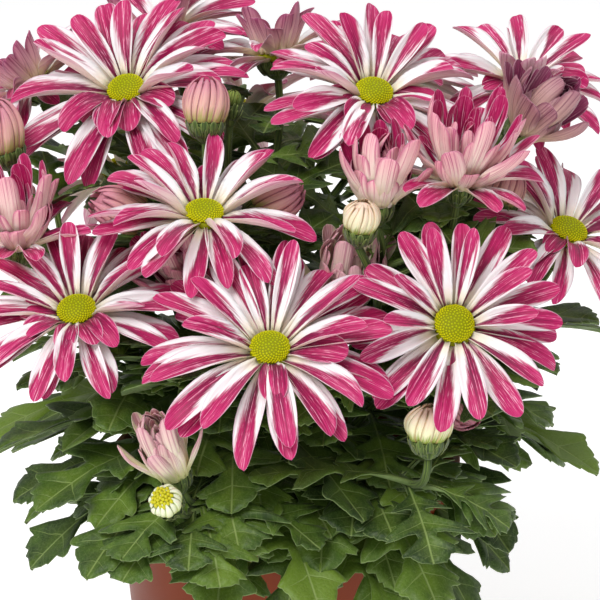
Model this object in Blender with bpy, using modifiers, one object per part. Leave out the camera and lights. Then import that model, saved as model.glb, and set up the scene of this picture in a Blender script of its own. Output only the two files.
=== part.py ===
"""A pot of chrysanthemums in flower: the pot, its soil, five rooted cuttings, and their blooms and buds.

Metres, +Z up, with the origin under the middle of the pot and the viewer on the -Y side. Heads and leaves are
placed from the tables below. Each stem, petal and leaf follows one formula, and is bent by small steps until
it clears what already stands there.
"""

from dataclasses import dataclass, replace
from itertools import product
from math import atan2, cos, degrees, floor, pi, radians, sin, sqrt

import bmesh
import bpy
from mathutils import Matrix, Vector
from mathutils.bvhtree import BVHTree

MM = 0.001
GAP = 0.3 * MM

# Pot: a moulded plastic pot of the 12 cm size, with a flat floor and a band round its rim
POT_HEIGHT = 105 * MM
RIM_RADIUS = 60 * MM
RIM_BAND = 11 * MM
RIM_STEP = 1.5 * MM
FOOT_RADIUS = 48.8 * MM
FOOT_EDGE = 1.5 * MM
BODY_TOP_RADIUS = 57.2 * MM
WALL = 1.6 * MM
FLOOR = 2.4 * MM
POT_SEGMENTS = 32
DRAINS = 5
DRAIN_RADIUS = 2 * MM
DRAIN_CIRCLE = 36 * MM

# Soil: level near the wall and slightly crowned in the middle
SOIL_EDGE_HEIGHT = 93 * MM
SOIL_CROWN = 2.5 * MM
STEM_DEPTH = 12 * MM

# Cuttings: one main stem each, set in a ring in the soil
PLANT_CIRCLE = 24 * MM
PLANT_ANGLES = (-128, -52, 20, 92, 164)
MAIN_RADIUS = 2.6 * MM
MAIN_TOP = 150 * MM
MAIN_LEAN = 0.35
FORK_LOW = 106 * MM
FORK_HIGH = 147 * MM
BRANCH_RADIUS = 1.6 * MM
BRANCH_SPREAD = 0.7
NECK_RADIUS = 1.25 * MM
CUP_LENGTH = 6.5 * MM
TUBE_ROUNDNESS = 1

# Heads: a ring that carries the ray florets, a disc on it and a green cup below
RING_RADIUS = 7.2 * MM
RING_TOP = 1.0 * MM
RING_LOW = -2.0 * MM
DISC_RADIUS = 6.4 * MM
DISC_RISE = 3.2 * MM
DISC_GRAIN = 0.3 * MM
DISC_FOLDS = 10
HALF_OPEN_RADIUS = 5.0 * MM
HALF_OPEN_PETAL_WIDTH = 5.4
PETAL_THICKNESS = 0.7 * MM
PETAL_WIDTH = 0.2
PETAL_STATIONS = (0.38, 0.8, 1.0)
HALF_OPEN_STATIONS = (0.62, 1.0)
PETAL_STARTS = (0.15, 0.02)
PETAL_OUTLINE = ((0.38, 0.85), (0.8, 0.97), (1.0, 0.38))
BUD_OUTLINE = ((0.78, 0.0), (1.0, 0.28), (0.86, 0.62), (0.45, 0.88))
CLEARANCE = 0.4 * MM
# Small bends that make room, the least change first: degrees of lift and swing, and a part of the length
PETAL_BENDS = sorted(
    product((0, 7, -7, 14, -14, 22, -22, 32, 44), (0, 5, -5, 10, -10), (1, 0.9, 0.78, 0.64, 0.5)),
    key=lambda bend: abs(bend[0]) / 8 + abs(bend[1]) / 5 + 8 * (1 - bend[2]),
)

# Leaves
LEAF_THICKNESS = 0.8 * MM
PETIOLE_THICKNESS = 2.0 * MM
PETIOLE_END = 0.27
PETIOLE_STARTS = (0.09, 0.01)
SMALL_LEAF_LENGTH = 46 * MM
SMALL_LEAF_WIDTH = 22 * MM
# Degrees of turn, mm of height at the tip, degrees of droop, and a part of the length
LEAF_BENDS = sorted(
    product((0, 5, -5, 10, -10, 16, -16), (0, 6, -6, 12, -12, 20), (0, 15, -15, 30), (1, 0.88, 0.76)),
    key=lambda bend: abs(bend[0]) / 6 + abs(bend[1]) / 8 + abs(bend[2]) / 15 + 10 * (1 - bend[3]),
)


@dataclass(frozen=True)
class Head:
    """A flower head: where it sits in mm, how far it leans from upright and to which side, and its size."""

    name: str
    plant: int
    seat: tuple
    tilt: float
    toward: float
    reach: float
    petals: int = 0
    outer: float = 0.0
    inner: float = 0.0
    rise: float = 8.0
    curl: float = 0.0


# Open blooms: reach is from the middle to the petal tips, and rise is how many degrees the petals on the
# uphill side stand above the rest. Leaning toward -90 faces the viewer
BLOOMS = (
    Head("bloom_01", 2, (-4, -80, 170), 32, -90, 41, 18),
    Head("bloom_02", 4, (-52, 5, 231), 30, -111, 41, 18),
    Head("bloom_03", 3, (29, -12, 234), 28, -74, 37, 18),
    Head("bloom_04", 2, (53, -68, 174), 51, -85, 36, 18),
    Head("bloom_05", 1, (-65, -55, 174), 27, -104, 35, 18),
    Head("bloom_06", 1, (-25, -45, 203), 17, -82, 36, 18),
    Head("bloom_07", 3, (93, -14, 188), 26, -50, 35, 14, rise=26),
    Head("bloom_08", 3, (80, 24, 230), 25, -75, 32, 14, rise=14),
    Head("bloom_09", 4, (-41, 42, 243), 19, -139, 34, 12),
    Head("bloom_10", 5, (-3, 28, 238), 10, 125, 33, 12),
    Head("bloom_11", 4, (-86, 38, 226), 38, -176, 31, 12),
    Head("bloom_12", 5, (35, 55, 225), 24, 60, 36, 10),
    Head("bloom_13", 5, (-15, 80, 205), 36, 98, 36, 10),
    Head("bloom_14", 3, (70, 60, 190), 40, 42, 35, 10),
    Head("bloom_15", 5, (-60, 75, 185), 40, 128, 35, 10),
)

# Half-open heads: reach is the length of a petal, outer and inner are the angles of their two rounds of
# petals, and curl is how far these bend back in
HALF_OPEN = (
    Head("half_open_1", 3, (56, -38, 212), 9, -28, 27, 12, 38, 60),
    Head("half_open_2", 2, (30, -42, 207), 3, 80, 23, 10, 57, 75),
    Head("half_open_3", 4, (-85, -36, 191), 5, -179, 24, 10, 45, 66),
    Head("half_open_4", 2, (20, -40, 173), 23, -79, 24, 10, 52, 72),
    Head("half_open_5", 3, (79, -6, 221), 42, -12, 22, 10, 56, 74, curl=26),
    Head("half_open_6", 1, (-30, -40, 178), 24, -131, 22, 10, 54, 72),
    Head("half_open_7", 1, (-34, -84, 132), 23, -145, 21, 10, 68, 80, curl=6),
    Head("half_open_8", 4, (-95, 35, 165), 38, 168, 24, 10, 48, 68),
)

# Buds: reach is the height of the bud and petals its number of folds
BUDS = (
    Head("bud_01", 4, (-91, -12, 215), 16, 172, 18, 8, 7.5),
    Head("bud_02", 2, (24, -57, 202), 13, -68, 10, 8, 5.2),
    Head("bud_03", 1, (-35, -97, 126), 50, -113, 7, 8, 4.6),
    Head("bud_04", 4, (-25, -22, 227), 13, 90, 15, 8, 6.5),
    Head("bud_05", 4, (-17, -8, 229), 14, 66, 5.5, 8, 2.6),
    Head("bud_06", 1, (-46, -30, 198), 67, -165, 18, 8, 6.5),
    Head("bud_07", 2, (-7, -34, 201), 55, -6, 16, 8, 6.5),
    Head("bud_08", 2, (45, -80, 141), 3, 90, 11, 8, 6.5),
    Head("bud_09", 2, (56, -52, 142), 110, -62, 10, 8, 5.5),
    Head("bud_10", 3, (71, -12, 197), 14, 35, 13, 8, 6.0),
)
HEADS = BLOOMS + HALF_OPEN + BUDS

# Leaves: plant, height of the leaf's foot on the main stem, tip x, y and z and width in mm, then droop and
# roll in degrees
LEAVES = (
    (1, 112, -61, -95, 100, 36, 55, 0),
    (1, 122, -16, -88, 119, 34, 50, 10),
    (2, 128, -2, -70, 138, 30, 45, -10),
    (1, 135, -58, -66, 138, 32, 40, 0),
    (2, 138, 40, -66, 146, 30, 40, 0),
    (2, 112, 24, -78, 108, 32, 50, 0),
    (1, 118, -78, -74, 114, 36, 50, 0),
    (1, 126, -92, -56, 121, 34, 45, 10),
    (1, 106, 12, -98, 82, 34, 60, 0),
    (1, 131, 25, -85, 127, 34, 40, -15),
    (2, 113, 8, -90, 98, 24, 55, 0),
    (2, 108, 36, -96, 86, 34, 60, 0),
    (2, 127, 74, -62, 124, 34, 40, 0),
    (2, 118, 46, -84, 110, 36, 50, 10),
    (3, 110, 73, -56, 92, 34, 55, 0),
    (2, 106, 64, -66, 88, 32, 60, 0),
    (3, 136, 88, -45, 150, 34, 35, -10),
    (3, 121, 104, -30, 109, 36, 50, 0),
    (3, 143, 104, -18, 158, 34, 35, 0),
    (4, 128, -98, -38, 142, 34, 40, 0),
    (4, 118, -102, -20, 118, 36, 50, 0),
    (1, 146, -48, -62, 150, 28, 30, 0),
    (4, 142, -96, 4, 160, 32, 35, 0),
    (3, 108, 98, 14, 98, 34, 55, 0),
    (3, 126, 96, 34, 128, 34, 45, 0),
    (3, 112, 78, 66, 100, 34, 55, 0),
    (5, 108, 50, 88, 96, 36, 55, 0),
    (5, 128, 40, 84, 132, 34, 45, 0),
    (5, 114, 4, 102, 100, 36, 55, 0),
    (5, 134, -8, 92, 142, 32, 40, 0),
    (5, 108, -40, 92, 98, 34, 55, 0),
    (4, 112, -74, 66, 102, 36, 55, 0),
    (4, 130, -78, 52, 136, 32, 45, 0),
    (4, 108, -98, 18, 98, 34, 55, 0),
    (4, 148, -66, -14, 178, 28, 30, 0),
    (2, 144, 50, -46, 160, 26, 30, 0),
)
# A leaf's outline: how far along the rib the vein to each point of its edge starts, and how far out that
# point stands for the leaf's width
LEAF_EDGE = (
    (0.00, 0.035),
    (0.27, 0.035),
    (0.37, 0.34),
    (0.45, 0.19),
    (0.60, 0.50),
    (0.70, 0.22),
    (0.82, 0.30),
)
LEAF_RIB = (0.0, 0.27, 0.62, 1.0)
SMALL_LEAF_EDGE = ((0.0, 0.06), (0.3, 0.12), (0.62, 0.5), (0.82, 0.34))
SMALL_LEAF_RIB = (0.0, 0.62, 1.0)
LEAF_SLANT = 0.55
LEAF_FOLD = 0.25


def wobble(*keys):
    """A number from -1 to 1 that depends on the keys alone."""
    value = sin(sum(key * weight for key, weight in zip(keys, (12.9898, 78.233, 37.719), strict=False)))
    value *= 43758.5453
    return 2 * (value - floor(value)) - 1


def direction(tilt, toward):
    """The unit vector that leans tilt degrees from upright toward the given side."""
    lean, side = radians(tilt), radians(toward)
    return Vector((sin(lean) * cos(side), sin(lean) * sin(side), cos(lean)))


def head_frame(head):
    """The head's own axes: Z is where it faces, X is its downhill side and the origin is its seat."""
    axis = direction(head.tilt, head.toward)
    downhill = direction(head.tilt + 90, head.toward)
    turned = Matrix((downhill, axis.cross(downhill), axis)).transposed()
    return Matrix.Translation(Vector(head.seat) * MM) @ turned.to_4x4()


class Crowd:
    """What already stands in the pot, to test whether a new piece would touch it."""

    def __init__(self):
        self.members = []

    def add(self, points, faces, owner=None):
        self.members.append((owner, *bounds(points), BVHTree.FromPolygons(points, faces)))

    def touches(self, points, faces, skip=()):
        low, high = bounds(points)
        tree = BVHTree.FromPolygons(points, faces)
        for owner, other_low, other_high, other in self.members:
            apart = any(low[i] > other_high[i] or high[i] < other_low[i] for i in range(3))
            if not apart and owner not in skip and tree.overlap(other):
                return True
        return False


def bounds(points):
    """The lowest and highest corner of the points' box."""
    return tuple(Vector(pick(point[i] for point in points) for i in range(3)) for pick in (min, max))


def new_object(name, mesh, collection):
    obj = bpy.data.objects.new(name, mesh)
    collection.objects.link(obj)
    return obj


def object_from_faces(name, points, faces, collection):
    mesh = bpy.data.meshes.new(name)
    mesh.from_pydata(points, [], faces)
    return new_object(name, mesh, collection)


def evaluated_mesh(obj):
    """The object's mesh with its modifiers applied, in its own coordinates."""
    bpy.context.view_layer.update()
    return bpy.data.meshes.new_from_object(obj.evaluated_get(bpy.context.evaluated_depsgraph_get()))


def apply_modifiers(obj):
    mesh = evaluated_mesh(obj)
    obj.modifiers.clear()
    obj.data = mesh


def turned(name, profile, collection):
    """A solid turned from a profile of (radius, height) points that runs down its outer side."""
    mesh = bpy.data.meshes.new(name)
    points = [(radius, 0, height) for radius, height in profile]
    mesh.from_pydata(points, [(i, i + 1) for i in range(len(points) - 1)], [])
    obj = new_object(name, mesh, collection)
    screw = obj.modifiers.new("Turn", "SCREW")
    screw.steps = screw.render_steps = POT_SEGMENTS
    screw.use_merge_vertices = True
    screw.merge_threshold = 0.01 * MM
    return obj


def cut(obj, cutter):
    """Take the cutter's shape out of the object."""
    cutter.hide_render = True
    cutter.display_type = "WIRE"
    boolean = obj.modifiers.new("Holes", "BOOLEAN")
    boolean.operation = "DIFFERENCE"
    boolean.object = cutter


def upright_cylinders(name, feet, radius, height, segments, collection):
    """One object of equal upright cylinders that stand on the given points."""
    bm = bmesh.new()
    for foot in feet:
        place = Matrix.Translation(foot + Vector((0, 0, height / 2)))
        bmesh.ops.create_cone(
            bm, cap_ends=True, segments=segments, radius1=radius, radius2=radius, depth=height, matrix=place
        )
    mesh = bpy.data.meshes.new(name)
    bm.to_mesh(mesh)
    bm.free()
    return new_object(name, mesh, collection)


def body_radius(height):
    """The pot's outer radius below its rim band."""
    top = POT_HEIGHT - RIM_BAND
    return FOOT_RADIUS + (BODY_TOP_RADIUS - FOOT_RADIUS) * height / top


def make_pot(parts, cutters):
    band_low = POT_HEIGHT - RIM_BAND
    inside_low = body_radius(FLOOR) - WALL
    inside_top = body_radius(band_low) - WALL
    profile = [
        (0, FLOOR),
        (inside_low, FLOOR),
        (inside_top, band_low),
        (RIM_RADIUS - 1.6 * WALL, POT_HEIGHT),
        (RIM_RADIUS - 0.4 * WALL, POT_HEIGHT),
        (RIM_RADIUS, POT_HEIGHT - 0.6 * WALL),
        (RIM_RADIUS - 0.3 * WALL, band_low),
        (BODY_TOP_RADIUS, band_low - RIM_STEP),
        (body_radius(FOOT_EDGE), FOOT_EDGE),
        (FOOT_RADIUS - FOOT_EDGE, 0),
        (0, 0),
    ]
    pot = turned("pot", profile, parts)
    feet = [
        Vector((DRAIN_CIRCLE * cos(2 * pi * i / DRAINS), DRAIN_CIRCLE * sin(2 * pi * i / DRAINS), -FLOOR))
        for i in range(DRAINS)
    ]
    cut(pot, upright_cylinders("drain_cutter", feet, DRAIN_RADIUS, 3 * FLOOR, 6, cutters))
    return pot


def soil_height(radius):
    """The soil's surface at a distance from the pot's middle: a very low cone."""
    return SOIL_EDGE_HEIGHT + SOIL_CROWN * (1 - radius / BODY_TOP_RADIUS)


def plant_foot(plant):
    """The middle of a main stem's lower end, in the soil."""
    angle = radians(PLANT_ANGLES[plant - 1])
    height = soil_height(PLANT_CIRCLE) - STEM_DEPTH
    return Vector((PLANT_CIRCLE * cos(angle), PLANT_CIRCLE * sin(angle), height))


def make_soil(parts, cutters):
    low = FLOOR + GAP
    edge = body_radius(SOIL_EDGE_HEIGHT) - WALL - GAP / cos(pi / POT_SEGMENTS)
    foot = body_radius(low) - WALL - GAP / cos(pi / POT_SEGMENTS)
    profile = [(0, soil_height(0)), (edge, soil_height(edge)), (foot, low), (0, low)]
    soil = turned("soil", profile, parts)
    feet = [plant_foot(plant) - Vector((0, 0, GAP)) for plant in range(1, len(PLANT_ANGLES) + 1)]
    hole = MAIN_RADIUS + GAP + 0.1 * MM
    cut(soil, upright_cylinders("stem_hole_cutter", feet, hole, 2 * STEM_DEPTH, 8, cutters))
    return soil


def main_stem_point(plant, height):
    """The middle of a main stem: upright in the soil, then leaning outward more and more."""
    foot = plant_foot(plant)
    start = soil_height(PLANT_CIRCLE) + 2 * MM
    rise = max(0.0, height - start) / (MAIN_TOP - start)
    lean = 1 + MAIN_LEAN * rise**1.5
    return Vector((foot.x * lean, foot.y * lean, height))


def sleeve(path, radii):
    """A six-sided tube that encloses the round one along the path, for testing where it would touch."""
    points, faces = [], []
    side = (path[1] - path[0]).orthogonal()
    for i, (middle, radius) in enumerate(zip(path, radii, strict=True)):
        along = (path[min(i + 1, len(path) - 1)] - path[max(i - 1, 0)]).normalized()
        side = (side - along * side.dot(along)).normalized()
        across = along.cross(side)
        for j in range(6):
            spoke = cos(pi * j / 3) * side + sin(pi * j / 3) * across
            points.append(middle + radius / cos(pi / 6) * spoke)
            if i:
                low, high = 6 * (i - 1), 6 * i
                faces.append((low + j, low + (j + 1) % 6, high + (j + 1) % 6, high + j))
    faces += [tuple(range(6)), tuple(range(len(points) - 6, len(points)))]
    return points, faces


def tube(name, path, radii, collection):
    """A tapered tube along the path, made as a bevelled curve and turned into a closed mesh."""
    curve = bpy.data.curves.new(name, "CURVE")
    curve.dimensions = "3D"
    curve.bevel_depth = 1.0
    curve.bevel_resolution = TUBE_ROUNDNESS
    curve.use_fill_caps = True
    spline = curve.splines.new("POLY")
    spline.points.add(len(path) - 1)
    for point, place, radius in zip(spline.points, path, radii, strict=True):
        point.co = (*place, 1)
        point.radius = radius
    guide = new_object(name + "_guide", curve, collection)
    mesh = evaluated_mesh(guide)
    bpy.data.objects.remove(guide)
    bm = bmesh.new()
    bm.from_mesh(mesh)
    bmesh.ops.remove_doubles(bm, verts=bm.verts, dist=0.001 * MM)
    bm.to_mesh(mesh)
    bm.free()
    return new_object(name, mesh, collection)


def cup_radius(head):
    if head in BLOOMS:
        return 0.9 * RING_RADIUS
    return 0.9 * (HALF_OPEN_RADIUS if head in HALF_OPEN else head.outer * MM)


def cup_top(head):
    """How far below its seat a head's green cup ends."""
    return GAP - (0 if head in BUDS else RING_LOW)


def dome_rise(head):
    """How far the disc, or a half-open head's young florets, stand above the ring."""
    return DISC_RISE if head in BLOOMS else 0.5 * head.reach * MM * sin(radians(head.inner))


def head_core(head, spare):
    """A six-sided sleeve round the head's ring and disc, or round the whole bud, in world coordinates."""
    frame = head_frame(head)
    radius = cup_radius(head) / 0.9 + spare
    low, high = (0, head.reach * MM) if head in BUDS else (RING_LOW, RING_TOP + dome_rise(head))
    path = [frame @ Vector((0, 0, low - spare)), frame @ Vector((0, 0, high + spare))]
    return sleeve(path, (radius, 0.85 * radius))


def bezier(a, b, c, d, t):
    s = 1 - t
    return s**3 * a + 3 * s * s * t * b + 3 * s * t * t * c + t**3 * d


def fork_height(head):
    """Where a head's branch leaves its main stem: evenly spaced, the lowest head's branch lowest."""
    family = sorted((other for other in HEADS if other.plant == head.plant), key=lambda other: other.seat[2])
    return FORK_LOW + (FORK_HIGH - FORK_LOW) * family.index(head) / (len(family) - 1)


def branch_path(head, sway, lift):
    """A head's branch: up and out from its main stem in one curve, then straight into the green cup."""
    frame = head_frame(head)
    seat, axis = frame.translation, frame.col[2].to_3d()
    start = main_stem_point(head.plant, fork_height(head))
    end = seat - axis * (cup_top(head) + CUP_LENGTH)
    length = (end - start).length
    outward = Vector((end.x - start.x, end.y - start.y, 0))
    rise = Vector((0, 0, 1)) + BRANCH_SPREAD * outward / (outward.length + MM)
    sideways = Vector((-outward.y, outward.x, 0)) / (outward.length + MM)
    first = start + rise * lift * length + sideways * sway
    second = end - axis * 0.35 * length + sideways * sway
    path = [bezier(start, first, second, end, t) for t in (0, 0.33, 0.68, 1)]
    return [*path, seat - axis * cup_top(head)]


def branch_radii(head, spare=0.0):
    stem = [BRANCH_RADIUS, 0.95 * BRANCH_RADIUS, 0.85 * BRANCH_RADIUS, NECK_RADIUS]
    return [radius + spare for radius in (*stem, cup_radius(head))]


def grow_branch(head, crowd, collection):
    """Bend a branch sideways by small steps until it is clear of other plants and heads."""
    own = {head.name, f"plant_{head.plant}"}
    for lift, sway in product((0.4, 0.25, 0.6), (0, 6, -6, 12, -12, 18, -18, 26, -26)):
        path = branch_path(head, sway * MM, lift)
        if not crowd.touches(*sleeve(path, branch_radii(head, CLEARANCE)), skip=own):
            break
    crowd.add(*sleeve(path, branch_radii(head)), owner=f"plant_{head.plant}")
    tube(head.name + "_branch", path, branch_radii(head), collection)
    return path


@dataclass(frozen=True)
class Petal:
    """A ray floret in its head's frame. Its rib is an arc whose slope runs from pitch to pitch plus bend."""

    angle: float
    radius: float
    height: float
    root_width: float
    root_height: float
    length: float
    width: float
    pitch: float
    bend: float
    swing: float = 0.0
    twist: float = 0.0
    stations: tuple = PETAL_STATIONS

    def section(self, s, spare=0.0):
        """The four corners across the petal at s of its length: upper left and right, lower right, left."""
        slope = self.pitch + self.bend * s
        out = self.length * (sin(slope) - sin(self.pitch)) / self.bend
        up = self.length * (cos(self.pitch) - cos(slope)) / self.bend
        radial = Vector((cos(self.angle), sin(self.angle), 0))
        across = Vector((-sin(self.angle), cos(self.angle), 0))
        middle = radial * (self.radius + out) + across * out * self.swing + Vector((0, 0, self.height + up))
        normal = -sin(slope) * radial + cos(slope) * Vector((0, 0, 1))
        turn = self.twist * s
        side = cos(turn) * across + sin(turn) * normal
        face = cos(turn) * normal - sin(turn) * across
        root = max(0.0, 1 - s / self.stations[0])
        half_width = side * (self.half_width(s) + spare)
        half_depth = face * ((root * self.root_height + (1 - root) * PETAL_THICKNESS) / 2 + spare)
        return [
            middle - half_width + half_depth,
            middle + half_width + half_depth,
            middle + half_width - half_depth,
            middle - half_width - half_depth,
        ]

    def half_width(self, s):
        """Half the width at s, along straight lines between the outline's own points."""
        outline = [(0.0, self.root_width), *((at, part * self.width) for at, part in PETAL_OUTLINE)]
        for (low, narrow), (high, wide) in zip(outline, outline[1:], strict=False):
            if s <= high:
                return (narrow + (wide - narrow) * (s - low) / (high - low)) / 2
        return outline[-1][1] / 2

    def test_shape(self, frame, start):
        """The petal from start outward, thickened by the clearance, in world coordinates."""
        sections = [self.section(s, CLEARANCE) for s in (start, *self.stations)]
        points = [frame @ point for section in sections for point in section]
        return points, loft_faces(range(0, len(points), 4))


def loft_faces(starts):
    """Triangles between four-cornered sections that start at the given points, and over the last one."""
    faces = []
    starts = list(starts)
    for a, b in zip(starts, starts[1:], strict=False):
        faces += [(a, b, b + 1), (a, b + 1, a + 1)]
        faces += [(a + 1, b + 1, b + 2), (a + 1, b + 2, a + 2)]
        faces += [(a + 3, a + 2, b + 2), (a + 3, b + 2, b + 3)]
        faces += [(a, a + 3, b + 3), (a, b + 3, b)]
    end = starts[-1]
    return faces + [(end, end + 3, end + 2), (end, end + 2, end + 1)]


def head_petals(head, index):
    """The petals of a head, one to each column of its ring, in an upper and a lower round by turns."""
    is_open = head in BLOOMS
    radius = (RING_RADIUS if is_open else HALF_OPEN_RADIUS) * cos(pi / head.petals)
    tier = (RING_TOP - RING_LOW) / 2
    for column in range(head.petals):
        angle = 2 * pi * (column + 0.5) / head.petals
        upper = column % 2 == 0
        loose, bow, size = (wobble(index, column, key) for key in (1, 2, 3))
        pitch, bend, length = (22, -30, 0.94) if upper else (6, -26, 1.0)
        width = PETAL_WIDTH * head.reach
        if not is_open:
            pitch, bend, length = (head.inner, 4, 1.0) if upper else (head.outer, -8, 0.96)
            width = HALF_OPEN_PETAL_WIDTH
            bend += head.curl
        elif upper and head.tilt > 20 and cos(angle) > 0.4 and size > 0.1:
            pitch, bend, length = 46, -70, 0.62
        else:
            pitch += head.rise * (1 - cos(angle)) / 2
        span = head.reach * MM - (radius if is_open else 0)
        yield Petal(
            angle=angle,
            radius=radius,
            height=(RING_TOP - tier / 2) if upper else (RING_LOW + tier / 2),
            root_width=2 * radius * sin(pi / head.petals),
            root_height=tier,
            length=span * (length + 0.05 * size),
            width=width * (1 + 0.06 * bow) * MM,
            pitch=radians(pitch + (5 if is_open else 4) * loose),
            bend=radians(bend + 7 * bow),
            twist=radians(14 * size),
            stations=PETAL_STATIONS if is_open else HALF_OPEN_STATIONS,
        )


def place_petals(head, index, crowd):
    """Each petal in the first of a list of small bends that leaves it clear, or None where it has no room."""
    siblings = Crowd()
    return [place_petal(petal, head, siblings, crowd) for petal in head_petals(head, index)]


def place_petal(petal, head, siblings, crowd):
    frame = head_frame(head)
    for lift, swing, part in PETAL_BENDS:
        pitch = petal.pitch + radians(lift)
        bent = replace(petal, pitch=pitch, swing=radians(swing), length=petal.length * part)
        free, whole = (bent.test_shape(frame, start) for start in PETAL_STARTS)
        if not siblings.touches(*free) and not crowd.touches(*whole, skip={head.name}):
            siblings.add(*free)
            crowd.add(*whole, owner=head.name)
            return bent
    return None


def make_rays(head, petals, collection):
    """The head's ring with its petals raised from it, and a half-open head's dome of young florets on it."""
    count = len(petals)
    radius = RING_RADIUS if head in BLOOMS else HALF_OPEN_RADIUS
    points = [
        Vector((radius * cos(2 * pi * j / count), radius * sin(2 * pi * j / count), height))
        for height in (RING_TOP, (RING_TOP + RING_LOW) / 2, RING_LOW)
        for j in range(count)
    ]
    faces = [tuple(reversed(range(2 * count, 3 * count)))]
    for j, petal in enumerate(petals):
        after = (j + 1) % count
        for upper in (0, count):
            root = (upper + j, upper + after, upper + count + after, upper + count + j)
            if petal is None or (upper == 0) != (j % 2 == 0):
                faces.append((root[0], root[3], root[2], root[1]))
                continue
            first = len(points)
            points += [points[i].copy() for i in root]
            points += [corner for s in petal.stations for corner in petal.section(s)]
            faces += loft_faces(range(first, len(points), 4))
    faces += dome_faces(points, count, head) if head in HALF_OPEN else [tuple(range(count))]
    obj = object_from_faces(head.name + ("_rays" if head in BLOOMS else ""), points, faces, collection)
    weld(obj.data)
    obj.matrix_world = head_frame(head)
    return obj


def dome_faces(points, count, head):
    """Rings of a folded dome above the ring's rim, each fold one column wide, closed at its top."""
    rise = dome_rise(head)
    below = list(range(count))
    faces = []
    for part, height in ((0.84, 0.45), (0.5, 0.85)):
        first = len(points)
        for j in range(count):
            fold = 1 + 0.1 * (-1) ** j
            around = 2 * pi * j / count
            reach = HALF_OPEN_RADIUS * part * fold
            points.append(Vector((reach * cos(around), reach * sin(around), RING_TOP + rise * height)))
        ring = list(range(first, first + count))
        for j in range(count):
            after = (j + 1) % count
            faces.append((below[j], below[after], ring[after], ring[j]))
        below = ring
    points.append(Vector((0, 0, RING_TOP + rise)))
    return faces + [(below[j], below[(j + 1) % count], len(points) - 1) for j in range(count)]


def weld(mesh):
    bm = bmesh.new()
    bm.from_mesh(mesh)
    bmesh.ops.remove_doubles(bm, verts=bm.verts, dist=0.001 * MM)
    bmesh.ops.triangulate(bm, faces=bm.faces)
    bm.to_mesh(mesh)
    bm.free()


def merge_flat_faces(mesh):
    """Fewer triangles where the union has split a flat face into many."""
    bm = bmesh.new()
    bm.from_mesh(mesh)
    bmesh.ops.dissolve_limit(bm, angle_limit=radians(0.3), verts=bm.verts, edges=bm.edges)
    bmesh.ops.triangulate(bm, faces=bm.faces)
    bm.to_mesh(mesh)
    bm.free()


def folded_dome(name, rings, folds, fold, twist, top, collection):
    """A closed dome of (radius, height) rings whose corners stand out and in by turns, flat below."""
    points, faces = [], [tuple(reversed(range(folds)))]
    for level, (radius, height) in enumerate(rings):
        for j in range(folds):
            around = 2 * pi * j / folds + level * twist
            reach = radius + (fold * (-1) ** (j + level) if level else 0)
            points.append((reach * cos(around), reach * sin(around), height))
            if level:
                low, high, after = folds * (level - 1), folds * level, (j + 1) % folds
                faces += [(low + j, low + after, high + after), (low + j, high + after, high + j)]
    points.append((0, 0, top))
    last = folds * (len(rings) - 1)
    faces += [(last + j, last + (j + 1) % folds, len(points) - 1) for j in range(folds)]
    return object_from_faces(name, points, faces, collection)


def make_disc(head, collection):
    """The domed disc of small florets, with its grain as relief."""
    base = RING_TOP + GAP
    slopes = [pi / 6 * level for level in range(3)]
    rings = [(DISC_RADIUS * cos(slope), base + DISC_RISE * sin(slope)) for slope in slopes]
    top = base + DISC_RISE + DISC_GRAIN
    disc = folded_dome(head.name + "_disc", rings, DISC_FOLDS, DISC_GRAIN, pi / DISC_FOLDS, top, collection)
    disc.matrix_world = head_frame(head)
    return disc


def make_bud(head, collection):
    """A closed bud: folded florets that wind up to a point."""
    radius, height = head.outer * MM, head.reach * MM
    rings = [(radius * part, height * level) for part, level in BUD_OUTLINE]
    bud = folded_dome(head.name, rings, head.petals, 0.07 * radius, pi / 24, height, collection)
    bud.matrix_world = head_frame(head)
    return bud


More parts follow.
